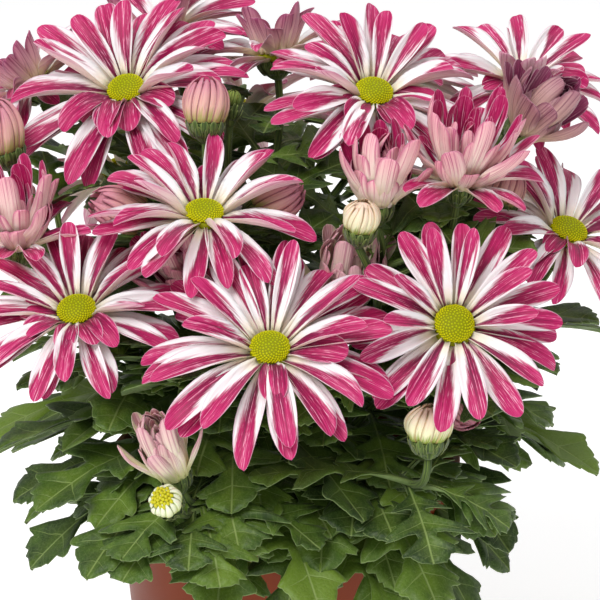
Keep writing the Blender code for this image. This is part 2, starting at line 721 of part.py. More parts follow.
@dataclass(frozen=True)
class Leaf:
    """A leaf on an arched rib from its foot to its tip, with its lobes slanted forward."""

    foot: Vector
    tip: Vector
    width: float
    droop: float
    roll: float
    key: int
    outline: tuple = LEAF_EDGE
    stations: tuple = LEAF_RIB

    def frame(self, s):
        """The rib's point at s and the directions along it, across it and out of its upper face."""
        chord = self.tip - self.foot
        flat = Vector((chord.x, chord.y, 0))
        out, up = flat.normalized(), Vector((0, 0, 1))
        start = atan2(chord.z, flat.length) + self.droop / 2
        length = chord.length * self.droop / 2 / sin(self.droop / 2)
        slope = start - self.droop * s
        point = self.foot + length / self.droop * (
            out * (sin(start) - sin(slope)) + up * (cos(slope) - cos(start))
        )
        normal = cos(slope) * up - sin(slope) * out
        across = up.cross(out)
        side = cos(self.roll) * across + sin(self.roll) * normal
        face = cos(self.roll) * normal - sin(self.roll) * across
        return point, cos(slope) * out + sin(slope) * up, side, face

    def edge(self, s, part, side):
        """The point of the edge whose vein leaves the rib at s, on the side given as -1 or 1."""
        point, along, across, normal = self.frame(s)
        out = part * self.width
        ripple = 0.05 * wobble(self.key, s, side) * self.width * part
        return point + across * side * out + along * LEAF_SLANT * out + normal * (LEAF_FOLD * out + ripple)

    def shape(self, start=0.0, spare=0.0):
        """Points and triangles of the blade from start outward, both faces split alike."""
        rib = [max(s, start) for s in self.stations]
        edge = [(max(s, start), part) for s, part in self.outline]
        upper, lower, faces = [], [], []

        def add(point, s):
            depth = PETIOLE_THICKNESS + (LEAF_THICKNESS - PETIOLE_THICKNESS) * min(1, s / PETIOLE_END)
            offset = self.frame(s)[3] * (depth / 2 + spare)
            upper.append(point + offset)
            lower.append(point - offset)
            return len(upper) - 1

        middle = [add(self.frame(s)[0], s) for s in rib]
        rims = []
        for side in (-1, 1):
            rim = [add(self.edge(s, part, side), s) for s, part in edge]
            rims.append(rim)
            faces += strip(middle, rib, rim, [s for s, _ in edge], side)
        count = len(upper)
        around = rims[0] + [middle[-1]] + rims[1][::-1] + [middle[0]]
        walls = []
        for a, b in zip(around, around[1:] + around[:1], strict=True):
            walls += [(a, a + count, b + count), (a, b + count, b)]
        below = [(a + count, c + count, b + count) for a, b, c in faces]
        return upper + lower, faces + below + walls


def strip(middle, rib, rim, edge, side):
    """Triangles between the rib and one edge, always taking the nearer next point."""
    faces = []
    i = j = 0
    while i < len(middle) - 1 or j < len(rim) - 1:
        if j < len(rim) - 1 and (i == len(middle) - 2 or edge[j + 1] <= rib[i + 1]):
            corner = rim[j + 1]
            faces.append((middle[i], rim[j], corner))
            j += 1
        else:
            corner = middle[i + 1]
            faces.append((middle[i], rim[j], corner))
            i += 1
    return faces if side < 0 else [(a, c, b) for a, b, c in faces]


def leaf_rows(branches):
    """Each leaf's plant, foot, chord, width, droop, roll and outline: the table's, then some on branches."""
    for plant, height, *tip, width, droop, roll in LEAVES:
        foot = main_stem_point(plant, height * MM)
        yield plant, foot, Vector(tip) * MM - foot, width * MM, droop, roll, (LEAF_EDGE, LEAF_RIB)
    for index, head in enumerate(BLOOMS[::2]):
        low, high = branches[head.name][1:3]
        around = atan2(high.y, high.x) + 1.2 * wobble(index, 7)
        chord = direction(80, degrees(around)) * SMALL_LEAF_LENGTH
        outline = (SMALL_LEAF_EDGE, SMALL_LEAF_RIB)
        roll = 20 * wobble(index, 8)
        yield head.plant, low.lerp(high, 0.5), chord, SMALL_LEAF_WIDTH, 35, roll, outline


def grow_leaf(row, key, crowd):
    """A leaf that is turned, raised or shortened by small steps until it is clear, with its plant."""
    plant, foot, chord, width, droop, roll, (outline, stations) = row
    for turn, raised, more, part in LEAF_BENDS:
        reach = Matrix.Rotation(radians(turn), 3, "Z") @ chord * part
        leaf = Leaf(
            foot=foot,
            tip=foot + reach + Vector((0, 0, raised * MM)),
            width=width * sqrt(part),
            droop=radians(droop + more),
            roll=radians(roll),
            key=key,
            outline=outline,
            stations=stations,
        )
        blade, whole = (leaf.shape(start, CLEARANCE) for start in PETIOLE_STARTS)
        own = {f"plant_{plant}"}
        if not crowd.touches(*blade, own) and not crowd.touches(*whole, own | {f"leaves_{plant}"}):
            crowd.add(*whole, owner=f"leaves_{plant}")
            return leaf
    return None


def main_stem(plant):
    """The path and radii of a cutting's main stem, from its hole in the soil to its top."""
    heights = (plant_foot(plant).z, soil_height(0) + 2 * MM, 115 * MM, 133 * MM, MAIN_TOP)
    path = [main_stem_point(plant, height) for height in heights]
    return path, [MAIN_RADIUS * part for part in (1, 1, 0.95, 0.85, 0.7)]


def make_plant(plant, leaves, parts, pieces):
    """One cutting: its main stem joined with its branches and leaves in a single union."""
    stem = tube(f"plant_{plant}", *main_stem(plant), parts)
    for key, leaf in leaves:
        points, faces = leaf.shape()
        object_from_faces(f"leaf_{key}", points, faces, pieces)
    union = stem.modifiers.new("Union", "BOOLEAN")
    union.operation = "UNION"
    union.operand_type = "COLLECTION"
    union.collection = pieces
    union.solver = "MANIFOLD"
    apply_modifiers(stem)
    merge_flat_faces(stem.data)
    for piece in [*pieces.objects]:
        bpy.data.objects.remove(piece)
    bpy.data.collections.remove(pieces)
    return stem


def colour(hexa):
    """A linear colour from an sRGB hex value."""
    parts = [int(hexa[i : i + 2], 16) / 255 for i in (1, 3, 5)]
    return [part / 12.92 if part <= 0.04045 else ((part + 0.055) / 1.055) ** 2.4 for part in parts] + [1]


def finish(objects, name, hexa, roughness):
    """One plain material on each of the objects, shaded smooth but for its sharp edges."""
    material = bpy.data.materials.new(name)
    material.use_nodes = True
    shader = material.node_tree.nodes["Principled BSDF"]
    shader.inputs["Base Color"].default_value = colour(hexa)
    shader.inputs["Roughness"].default_value = roughness
    shader.inputs["Metallic"].default_value = 0
    for obj in objects:
        obj.data.materials.clear()
        obj.data.materials.append(material)
        obj.data.shade_smooth()
        obj.data.set_sharp_from_angle(angle=radians(35))


def new_collection(name):
    collection = bpy.data.collections.new(name)
    bpy.context.scene.collection.children.link(collection)
    return collection


def crowd_of(objects):
    crowd = Crowd()
    for obj in objects:
        mesh = evaluated_mesh(obj)
        crowd.add([v.co for v in mesh.vertices], [tuple(p.vertices) for p in mesh.polygons])
    return crowd


def main():
    for obj in [*bpy.data.objects]:
        bpy.data.objects.remove(obj)
    parts = new_collection("potted_chrysanthemum")
    cutters = new_collection("cutters")
    plants = range(1, len(PLANT_ANGLES) + 1)
    pieces = {plant: new_collection(f"plant_{plant}_pieces") for plant in plants}

    pot = make_pot(parts, cutters)
    soil = make_soil(parts, cutters)
    crowd = crowd_of([pot, soil])
    for head in HEADS:
        crowd.add(*head_core(head, CLEARANCE), owner=head.name)
    for plant in plants:
        crowd.add(*sleeve(*main_stem(plant)), owner=f"plant_{plant}")
    branches = {head.name: grow_branch(head, crowd, pieces[head.plant]) for head in HEADS}
    heads = {}
    for index, head in enumerate(HEADS):
        if head not in BUDS:
            heads[head.name] = make_rays(head, place_petals(head, index, crowd), parts)
    leaves = {plant: [] for plant in plants}
    for key, row in enumerate(leaf_rows(branches)):
        leaf = grow_leaf(row, key, crowd)
        if leaf:
            leaves[row[0]].append((key, leaf))

    finish([pot], "terracotta_plastic", "#7E3F2E", 0.5)
    finish([soil], "peat_soil", "#2B211B", 0.95)
    stems = [make_plant(plant, leaves[plant], parts, pieces[plant]) for plant in plants]
    finish(stems, "leaf_green", "#35501F", 0.6)
    finish([heads[head.name] for head in BLOOMS], "magenta_florets", "#C5347B", 0.55)
    finish([make_disc(head, parts) for head in BLOOMS], "yellow_florets", "#A3AC0E", 0.7)
    finish([heads[head.name] for head in HALF_OPEN], "pink_florets", "#CF6E99", 0.55)
    finish([make_bud(head, parts) for head in BUDS], "bud_florets", "#E0C4AE", 0.6)


main()
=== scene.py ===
"""A pot of chrysanthemums in flower, dressed for a studio portrait.

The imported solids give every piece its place. Each head, stem and leaf repeats the formula of its solid with more
points, and with what the solid leaves out: channels and ribs in the ray florets, the single florets of the discs,
toothed and veined leaves, and the bracts under the heads. Lengths in the tables are in millimetres, and angles in
degrees.
"""

from __future__ import annotations

import logging
from collections.abc import Iterable, Iterator, Sequence
from dataclasses import dataclass, replace
from enum import Enum
from itertools import chain, islice, product
from math import atan2, cos, degrees, floor, inf, pi, radians, sin, sqrt
from typing import NamedTuple

import bmesh
import bpy
import numpy as np
from mathutils.bvhtree import BVHTree
from mathutils.kdtree import KDTree
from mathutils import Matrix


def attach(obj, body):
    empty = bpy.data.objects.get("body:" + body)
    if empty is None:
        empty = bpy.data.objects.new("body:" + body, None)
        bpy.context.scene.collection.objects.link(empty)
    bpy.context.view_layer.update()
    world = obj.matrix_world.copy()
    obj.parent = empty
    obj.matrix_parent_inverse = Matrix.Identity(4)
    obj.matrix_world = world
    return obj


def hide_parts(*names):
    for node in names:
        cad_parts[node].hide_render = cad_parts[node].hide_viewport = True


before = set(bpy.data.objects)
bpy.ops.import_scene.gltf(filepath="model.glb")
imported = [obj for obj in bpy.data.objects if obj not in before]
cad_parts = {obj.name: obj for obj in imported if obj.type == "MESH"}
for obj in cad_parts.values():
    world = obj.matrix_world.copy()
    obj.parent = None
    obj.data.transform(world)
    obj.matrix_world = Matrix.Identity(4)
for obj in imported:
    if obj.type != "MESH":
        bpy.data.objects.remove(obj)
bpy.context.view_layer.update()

Array = np.ndarray
Faces = list[tuple[int, ...]]
Node = bpy.types.Node
Socket = bpy.types.NodeSocket
Material = bpy.types.Material
LOG = logging.getLogger("potted_chrysanthemum")

MM = 0.001
CM = 0.01
UP = np.array((0.0, 0.0, 1.0))
FRONT = np.array((0.0, -1.0, 0.0))
GOLDEN_ANGLE = pi * (3 - sqrt(5))

# Pot and soil, as in the solids
POT_HEIGHT = 105 * MM
RIM_RADIUS = 60 * MM
BAND_FOOT = POT_HEIGHT - 11 * MM
FOOT_RADIUS = 48.8 * MM
BODY_TOP_RADIUS = 57.2 * MM
WALL = 1.6 * MM
POT_FLOOR = 2.4 * MM
DRAINS = 5
DRAIN_RADIUS = 2 * MM
DRAIN_CIRCLE = 36 * MM
SOIL_EDGE_HEIGHT = 93 * MM
SOIL_CROWN = 2.5 * MM
STEM_DEPTH = 12 * MM

# Stems
PLANT_CIRCLE = 24 * MM
PLANT_ANGLES = (-128, -52, 20, 92, 164)
MAIN_RADIUS = 2.6 * MM
MAIN_TOP = 150 * MM
MAIN_LEAN = 0.35
FORK_LOW = 106 * MM
FORK_HIGH = 147 * MM
BRANCH_RADIUS = 1.6 * MM
BRANCH_SPREAD = 0.7
NECK_RADIUS = 1.25 * MM
CUP_LENGTH = 6.5 * MM
BRANCH_WAYS = tuple(product((0.4, 0.25, 0.6), (0, 6, -6, 12, -12, 18, -18, 26, -26)))

# Heads
RING_RADIUS = 7.2 * MM
RING_TOP = 1.0 * MM
RING_LOW = -2.0 * MM
DISC_RADIUS = 6.4 * MM
DISC_RISE = 3.2 * MM
# How many petals a bloom's solid has where all its round is in view
FULL_ROUND = 18
# How far a bloom's florets reach in past the ring, and where those that start on top of it stand
PETAL_INSET = 0.9 * MM
INNER_RADIUS = 0.95 * RING_RADIUS
INNER_HEIGHT = RING_TOP - 0.2 * MM
# A disc floret for its size, as (radius, height): a stout tube with a rounded top
DISC_KNOB = np.array(((0.9, 0.0), (0.95, 0.5), (0.6, 1.0), (0.0, 1.15)))
HALF_OPEN_RADIUS = 5.0 * MM
# A half-open head has a spread round up to this angle of its outer petals, and narrow florets from this one on
SPREAD_UP_TO = 50
NARROW_FROM = 60
HALF_OPEN_PETAL_WIDTH = 5.4
YOUNG_SHOULDER = 0.74
SOLID_GAP = 0.3 * MM
SOLID_PETAL_DEPTH = 0.7 * MM
SOLID_PETAL_TIP = 0.38
SOLID_LEAF_DEPTH = 0.8 * MM
PETAL_WIDTH = 0.2
PETAL_BENDS = sorted(
    product((0, 7, -7, 14, -14, 22, -22, 32, 44), (0, 5, -5, 10, -10), (1, 0.9, 0.78, 0.64, 0.5)),
    key=lambda bend: abs(bend[0]) / 8 + abs(bend[1]) / 5 + 8 * (1 - bend[2]),
)
LEAF_BENDS = sorted(
    product((0, 5, -5, 10, -10, 16, -16), (0, 6, -6, 12, -12, 20), (0, 15, -15, 30), (1, 0.88, 0.76)),
    key=lambda bend: abs(bend[0]) / 6 + abs(bend[1]) / 8 + abs(bend[2]) / 15 + 10 * (1 - bend[3]),
)
MEETS = 0.06 * MM

# Leaves
SMALL_LEAF_LENGTH = 46 * MM
SMALL_LEAF_WIDTH = 22 * MM
# Heads seated lower than this many millimetres have leaves before their forks
VEILED = 150
LEAF_SLANT = 0.55
LEAF_FOLD = 0.25
LEAF_EDGE = ((0, 0.035), (0.27, 0.035), (0.37, 0.34), (0.45, 0.19), (0.6, 0.5), (0.7, 0.22), (0.82, 0.3), (1, 0))
SMALL_LEAF_EDGE = ((0, 0.06), (0.3, 0.12), (0.62, 0.5), (0.82, 0.34), (1, 0))
# The same lobes with their sinuses and two or three teeth on each, a line for each lobe
LEAF_MARGIN = (
    *((0, 0.035), (0.14, 0.03), (0.26, 0.045), (0.3, 0.13), (0.325, 0.25), (0.335, 0.235), (0.37, 0.34)),
    *((0.382, 0.31), (0.39, 0.25), (0.4, 0.15), (0.43, 0.085), (0.465, 0.08), (0.5, 0.15), (0.52, 0.3)),
    *((0.53, 0.33), (0.56, 0.45), (0.575, 0.46), (0.6, 0.5), (0.62, 0.48), (0.63, 0.42), (0.64, 0.36)),
    *((0.65, 0.2), (0.675, 0.115), (0.725, 0.11), (0.755, 0.2), (0.765, 0.25), (0.79, 0.32), (0.808, 0.315)),
    *((0.82, 0.3), (0.84, 0.24), (0.85, 0.235), (0.9, 0.2), (0.91, 0.165), (0.94, 0.14), (0.95, 0.11), (1, 0)),
)
SMALL_LEAF_MARGIN = (
    *((0, 0.06), (0.15, 0.06), (0.3, 0.12), (0.45, 0.32), (0.47, 0.29), (0.62, 0.5), (0.64, 0.44)),
    *((0.7, 0.4), (0.82, 0.34), (0.84, 0.28), (0.92, 0.2), (1, 0)),
)
# Plant, height of the foot on the main stem, tip x, y, z, width, droop and roll
LEAVES = (
    (1, 112, -61, -95, 100, 36, 55, 0),
    (1, 122, -16, -88, 119, 34, 50, 10),
    (2, 128, -2, -70, 138, 30, 45, -10),
    (1, 135, -58, -66, 138, 32, 40, 0),
    (2, 138, 40, -66, 146, 30, 40, 0),
    (2, 112, 24, -78, 108, 32, 50, 0),
    (1, 118, -78, -74, 114, 36, 50, 0),
    (1, 126, -92, -56, 121, 34, 45, 10),
    (1, 106, 12, -98, 82, 34, 60, 0),
    (1, 131, 25, -85, 127, 34, 40, -15),
    (2, 113, 8, -90, 98, 24, 55, 0),
    (2, 108, 36, -96, 86, 34, 60, 0),
    (2, 127, 74, -62, 124, 34, 40, 0),
    (2, 118, 46, -84, 110, 36, 50, 10),
    (3, 110, 73, -56, 92, 34, 55, 0),
    (2, 106, 64, -66, 88, 32, 60, 0),
    (3, 136, 88, -45, 150, 34, 35, -10),
    (3, 121, 104, -30, 109, 36, 50, 0),
    (3, 143, 104, -18, 158, 34, 35, 0),
    (4, 128, -98, -38, 142, 34, 40, 0),
    (4, 118, -102, -20, 118, 36, 50, 0),
    (1, 146, -48, -62, 150, 28, 30, 0),
    (4, 142, -96, 4, 160, 32, 35, 0),
    (3, 108, 98, 14, 98, 34, 55, 0),
    (3, 126, 96, 34, 128, 34, 45, 0),
    (3, 112, 78, 66, 100, 34, 55, 0),
    (5, 108, 50, 88, 96, 36, 55, 0),
    (5, 128, 40, 84, 132, 34, 45, 0),
    (5, 114, 4, 102, 100, 36, 55, 0),
    (5, 134, -8, 92, 142, 32, 40, 0),
    (5, 108, -40, 92, 98, 34, 55, 0),
    (4, 112, -74, 66, 102, 36, 55, 0),
    (4, 130, -78, 52, 136, 32, 45, 0),
    (4, 108, -98, 18, 98, 34, 55, 0),
    (4, 148, -66, -14, 178, 28, 30, 0),
    (2, 144, 50, -46, 160, 26, 30, 0),
)
# Rows of the table whose leaves are still yellow-green
YOUNG_LEAVES = (8, 17, 20)
# Where a vein leaves the midrib for each lobe, and its half width, both as shares of the leaf's length
LEAF_VEINS = ((0.37, 0.006), (0.6, 0.007), (0.82, 0.006), (0.48, 0.003), (0.7, 0.003), (0.92, 0.003))

# Settings of the finishes' nodes: a Map Range that rises smoothly, and a Mix of two colours
SMOOTHLY = {"interpolation_type": "SMOOTHSTEP"}
COLOURS = {"data_type": "RGBA"}


class BudTint(Enum):
    """What colour a head shows from outside: from green or lemon through cream to pink, and dusky in the shade."""

    CREAM = "cream"
    PINK = "pink"
    GREEN = "green"
    LEMON = "lemon"
    DUSKY = "dusky"


@dataclass(frozen=True)
class Head:
    """A flower head: its plant, its seat, its lean from upright and to which side, and its size."""

    name: str
    plant: int
    seat: tuple[float, float, float]
    tilt: float
    toward: float
    reach: float
    petals: int
    outer: float = 0.0
    inner: float = 0.0
    rise: float = 8.0
    curl: float = 0.0
    tint: BudTint = BudTint.PINK
    opened: bool = False
    collar: int = 0

    @property
    def origin(self) -> Array:
        """The seat in metres."""
        return np.array(self.seat) * MM

    @property
    def axes(self) -> Array:
        """Rows: the head's downhill side, the side across it, and the way it faces."""
        facing = direction(self.tilt, self.toward)
        downhill = direction(self.tilt + 90, self.toward)
        return np.stack((downhill, np.cross(facing, downhill), facing))

    @property
    def front(self) -> Array:
        """Where the plant's front lies in the head's own plane."""
        return self.axes[:2] @ FRONT

    def to_world(self, points: Array) -> Array:
        """Points of the head's own frame, moved to their place in the pot."""
        return points @ self.axes + self.origin


# reach is the length of a petal, rise how much steeper the uphill ones are, and collar how many stand at the front
# of a bloom that shows its underside; a dusky one stands in the shade and has painted shade on its underside
BLOOMS = (
    Head("bloom_01", 2, (-4, -80, 170), 32, -90, 41, 18),
    Head("bloom_02", 4, (-52, 5, 231), 30, -111, 41, 18),
    Head("bloom_03", 3, (29, -12, 234), 28, -74, 37, 18),
    Head("bloom_04", 2, (53, -68, 174), 51, -85, 36, 18),
    Head("bloom_05", 1, (-65, -55, 174), 27, -104, 35, 18),
    Head("bloom_06", 1, (-25, -45, 203), 17, -82, 36, 18),
    Head("bloom_07", 3, (93, -14, 188), 26, -50, 35, 14, rise=26),
    Head("bloom_08", 3, (80, 24, 230), 25, -75, 32, 14, rise=14, collar=5),
    Head("bloom_09", 4, (-41, 42, 243), 19, -139, 34, 12, tint=BudTint.DUSKY, collar=7),
    Head("bloom_10", 5, (-3, 28, 238), 10, 125, 33, 12, tint=BudTint.DUSKY, collar=7),
    Head("bloom_11", 4, (-86, 38, 226), 38, -176, 31, 12, tint=BudTint.DUSKY, collar=6),
    Head("bloom_12", 5, (35, 55, 225), 24, 60, 36, 10),
    Head("bloom_13", 5, (-15, 80, 205), 36, 98, 36, 10),
    Head("bloom_14", 3, (70, 60, 190), 40, 42, 35, 10),
    Head("bloom_15", 5, (-60, 75, 185), 40, 128, 35, 10),
)
# reach is the length of a petal, outer and inner the angles of its two rounds, curl how far these bend back in,
# and collar how many broad florets stand on the uphill side
HALF_OPEN = (
    Head("half_open_1", 3, (56, -38, 212), 9, -28, 27, 12, 38, 60),
    Head("half_open_2", 2, (30, -42, 207), 3, 80, 23, 10, 57, 75),
    Head("half_open_3", 4, (-85, -36, 191), 5, -179, 24, 10, 45, 66),
    Head("half_open_4", 2, (20, -40, 173), 23, -79, 24, 10, 52, 72, tint=BudTint.CREAM),
    Head("half_open_5", 3, (79, -6, 221), 42, -12, 22, 10, 56, 74, curl=26, tint=BudTint.DUSKY, collar=5),
    Head("half_open_6", 1, (-30, -40, 178), 24, -131, 22, 10, 54, 72),
    Head("half_open_7", 1, (-34, -84, 132), 23, -145, 21, 10, 68, 80, curl=6, tint=BudTint.CREAM),
    Head("half_open_8", 4, (-95, 35, 165), 38, 168, 24, 10, 48, 68),
)
# reach is the height of the bud and outer its radius
BUDS = (
    Head("bud_01", 4, (-91, -12, 215), 16, 172, 18, 8, 7.5),
    Head("bud_02", 2, (24, -57, 202), 13, -68, 10, 8, 5.2, tint=BudTint.CREAM),
    Head("bud_03", 1, (-35, -97, 126), 50, -113, 7, 8, 4.6, tint=BudTint.LEMON, opened=True),
    Head("bud_04", 4, (-25, -22, 227), 13, 90, 15, 8, 6.5),
    Head("bud_05", 4, (-17, -8, 229), 14, 66, 5.5, 8, 2.6, tint=BudTint.GREEN),
    Head("bud_06", 1, (-46, -30, 198), 67, -165, 18, 8, 6.5),
    Head("bud_07", 2, (-7, -34, 201), 55, -6, 16, 8, 6.5),
    Head("bud_08", 2, (45, -80, 141), 3, 90, 11, 8, 6.5, tint=BudTint.CREAM),
    Head("bud_09", 2, (56, -52, 142), 110, -62, 10, 8, 5.5),
    Head("bud_10", 3, (71, -12, 197), 14, 35, 13, 8, 6.0),
)
HEADS = BLOOMS + HALF_OPEN + BUDS


def wobble(*keys: float) -> float:
    """A number from -1 to 1 that depends on the keys alone: the fractional part of a large sine."""
    value = sin(sum(key * weight for key, weight in zip(keys, (12.9898, 78.233, 37.719), strict=False)))
    value *= 43758.5453
    return 2 * (value - floor(value)) - 1


def direction(tilt: float, toward: float) -> Array:
    """The unit vector that leans tilt degrees from upright toward the given side."""
    lean, side = radians(tilt), radians(toward)
    return np.array((sin(lean) * cos(side), sin(lean) * sin(side), cos(lean)))


def unit(vectors: Array) -> Array:
    """The vectors scaled to length one."""
    return vectors / np.linalg.norm(vectors, axis=-1, keepdims=True)


def smooth_step(values: Array, low: float, high: float) -> Array:
    """0 below low, 1 above high, and 3t² - 2t³ between them."""
    t = np.clip((values - low) / (high - low), 0, 1)
    return t * t * (3 - 2 * t)


def turn_about_up(vector: Array, angle: float) -> Array:
    """The vector turned about the upright axis."""
    c, s = cos(angle), sin(angle)
    return np.array((c * vector[0] - s * vector[1], s * vector[0] + c * vector[1], vector[2]))


def stacked(*parts: Array | float) -> Array:
    """The parts spread over one grid, as the last axis of one array."""
    return np.stack(np.broadcast_arrays(*parts), -1)


def spokes(segments: int) -> Array:
    """Unit vectors evenly round the upright axis: (cos a, sin a, 0)."""
    angle = 2 * pi * np.arange(segments) / segments
    return stacked(np.cos(angle), np.sin(angle), 0.0)


def turned(profile: Array, segments: int) -> Array:
    """A profile of (radius, height) turned about the upright axis: (r cos a, r sin a, h)."""
    return profile[:, 0, None, None] * spokes(segments) + profile[:, 1, None, None] * UP


def srgb(hexa: str) -> tuple[float, float, float, float]:
    """A linear colour from an sRGB hex value."""
    parts = [int(hexa[i : i + 2], 16) / 255 for i in (1, 3, 5)]
    red, green, blue = (p / 12.92 if p <= 0.04045 else ((p + 0.055) / 1.055) ** 2.4 for p in parts)
    return red, green, blue, 1.0


class Patchwork:
    """Grids of points collected into one mesh, with a UV map in centimetres and two marks on each point.

    The mark "place" holds across (-1 to 1), along (0 to 1) and the piece's own tone, and the mark "surface" holds
    underside, vein and kind.
    """

    def __init__(self) -> None:
        """Start with no grid."""
        self.points: list[Array] = []
        self.quads: list[Array] = []
        self.maps: list[Array] = []
        self.places: list[Array] = []
        self.surfaces: list[Array] = []
        self.count = 0

    def add(
        self,
        points: Array,
        around: bool,
        flat: Array | float = 0.0,
        place: Array | float = 0.0,
        surface: Array | float = 0.0,
        caps: bool = False,
    ) -> None:
        """Add one grid.

        Args:
            points: rows x columns x 3.
            around: whether the last column joins the first.
            flat: rows x columns x 2, each point's UV in metres, or one number for all.
            place: rows x columns x 3, or one number for all.
            surface: rows x columns x 3, or one number for all.
            caps: whether the first and last row, each a flat loop, are closed by quads across it.
        """
        rows, columns = points.shape[:2]
        i = np.arange(rows - 1)[:, None] * columns
        j = np.arange(columns if around else columns - 1)[None, :]
        k = (j + 1) % columns
        corners = [stacked(i + j, i + k, i + columns + k, i + columns + j).reshape(-1, 4)]
        if caps:
            c = np.arange(columns // 2 - 1)
            lid = np.stack((c, c + 1, columns - 2 - c, columns - 1 - c), -1)
            corners += [lid[:, ::-1], lid + (rows - 1) * columns]
        self.quads.append(np.concatenate(corners) + self.count)
        self.points.append(points.reshape(-1, 3))
        for store, marks, parts in ((self.maps, flat, 2), (self.places, place, 3), (self.surfaces, surface, 3)):
            store.append(np.broadcast_to(marks, (rows, columns, parts)).reshape(-1, parts))
        self.count += rows * columns

    def add_blade(
        self, upper: Array, lower: Array, flat: Array, place: Array, vein: Array | float = 0.0, kind: float = 0.0
    ) -> None:
        """Add a closed thin blade: its upper and lower face, each rows x columns x 3, joined round their edge.

        Args:
            upper: the points of the upper face.
            lower: the points of the lower face.
            flat: rows x columns x 2, the UV of both faces.
            place: rows x columns x 3.
            vein: rows x columns, how much each point lies on a vein, or one number for all.
            kind: the third part of the surface mark.
        """

        def both(values: Array) -> Array:
            """The values of the upper face, then those of the lower one, back to the start."""
            return np.concatenate((values, values[:, ::-1]), axis=1)

        rows, columns = upper.shape[:2]
        underside = np.repeat((0.0, 1.0), columns)[None, :]
        surface = stacked(underside, both(np.broadcast_to(vein, (rows, columns))), kind)
        points = np.concatenate((upper, lower[:, ::-1]), axis=1)
        self.add(points, True, both(flat), both(place), surface, caps=True)

    def piece(self, name: str, material: Material, node_names: Sequence[str], slot: str) -> bpy.types.Object:
        """Make the mesh object, with its doubles merged and its faces outward, and tie it to the frame.

        Args:
            name: the piece's name.
            material: its finish.
            node_names: the solids that it stands for.
            slot: not used.

        Returns:
            The object, at the origin.
        """
        quads = np.concatenate(self.quads)
        mesh = bpy.data.meshes.new(name)
        mesh.vertices.add(self.count)
        mesh.vertices.foreach_set("co", np.concatenate(self.points).ravel())
        mesh.loops.add(quads.size)
        mesh.loops.foreach_set("vertex_index", quads.ravel())
        mesh.polygons.add(len(quads))
        mesh.polygons.foreach_set("loop_start", np.arange(len(quads)) * 4)
        mesh.update(calc_edges=True)
        layer = mesh.uv_layers.new(name="UVMap")
        layer.data.foreach_set("uv", (np.concatenate(self.maps) / CM)[quads.ravel()].ravel())
        for label, values in (("place", self.places), ("surface", self.surfaces)):
            mark = mesh.attributes.new(label, "FLOAT_VECTOR", "POINT")
            mark.data.foreach_set("vector", np.concatenate(values).ravel())
        bm = bmesh.new()
        bm.from_mesh(mesh)
        bmesh.ops.remove_doubles(bm, verts=bm.verts, dist=1e-7)
        bmesh.ops.recalc_face_normals(bm, faces=bm.faces)
        bm.to_mesh(mesh)
        bm.free()
        mesh.shade_smooth()
        mesh.materials.append(material)
        obj = bpy.data.objects.new(name, mesh)
        bpy.context.scene.collection.objects.link(obj)
        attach(obj, "root")
        if node_names:
            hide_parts(*node_names)
        LOG.info("%s: %d faces, stands for %s", name, len(mesh.polygons), ", ".join(node_names) or "nothing")
        return obj


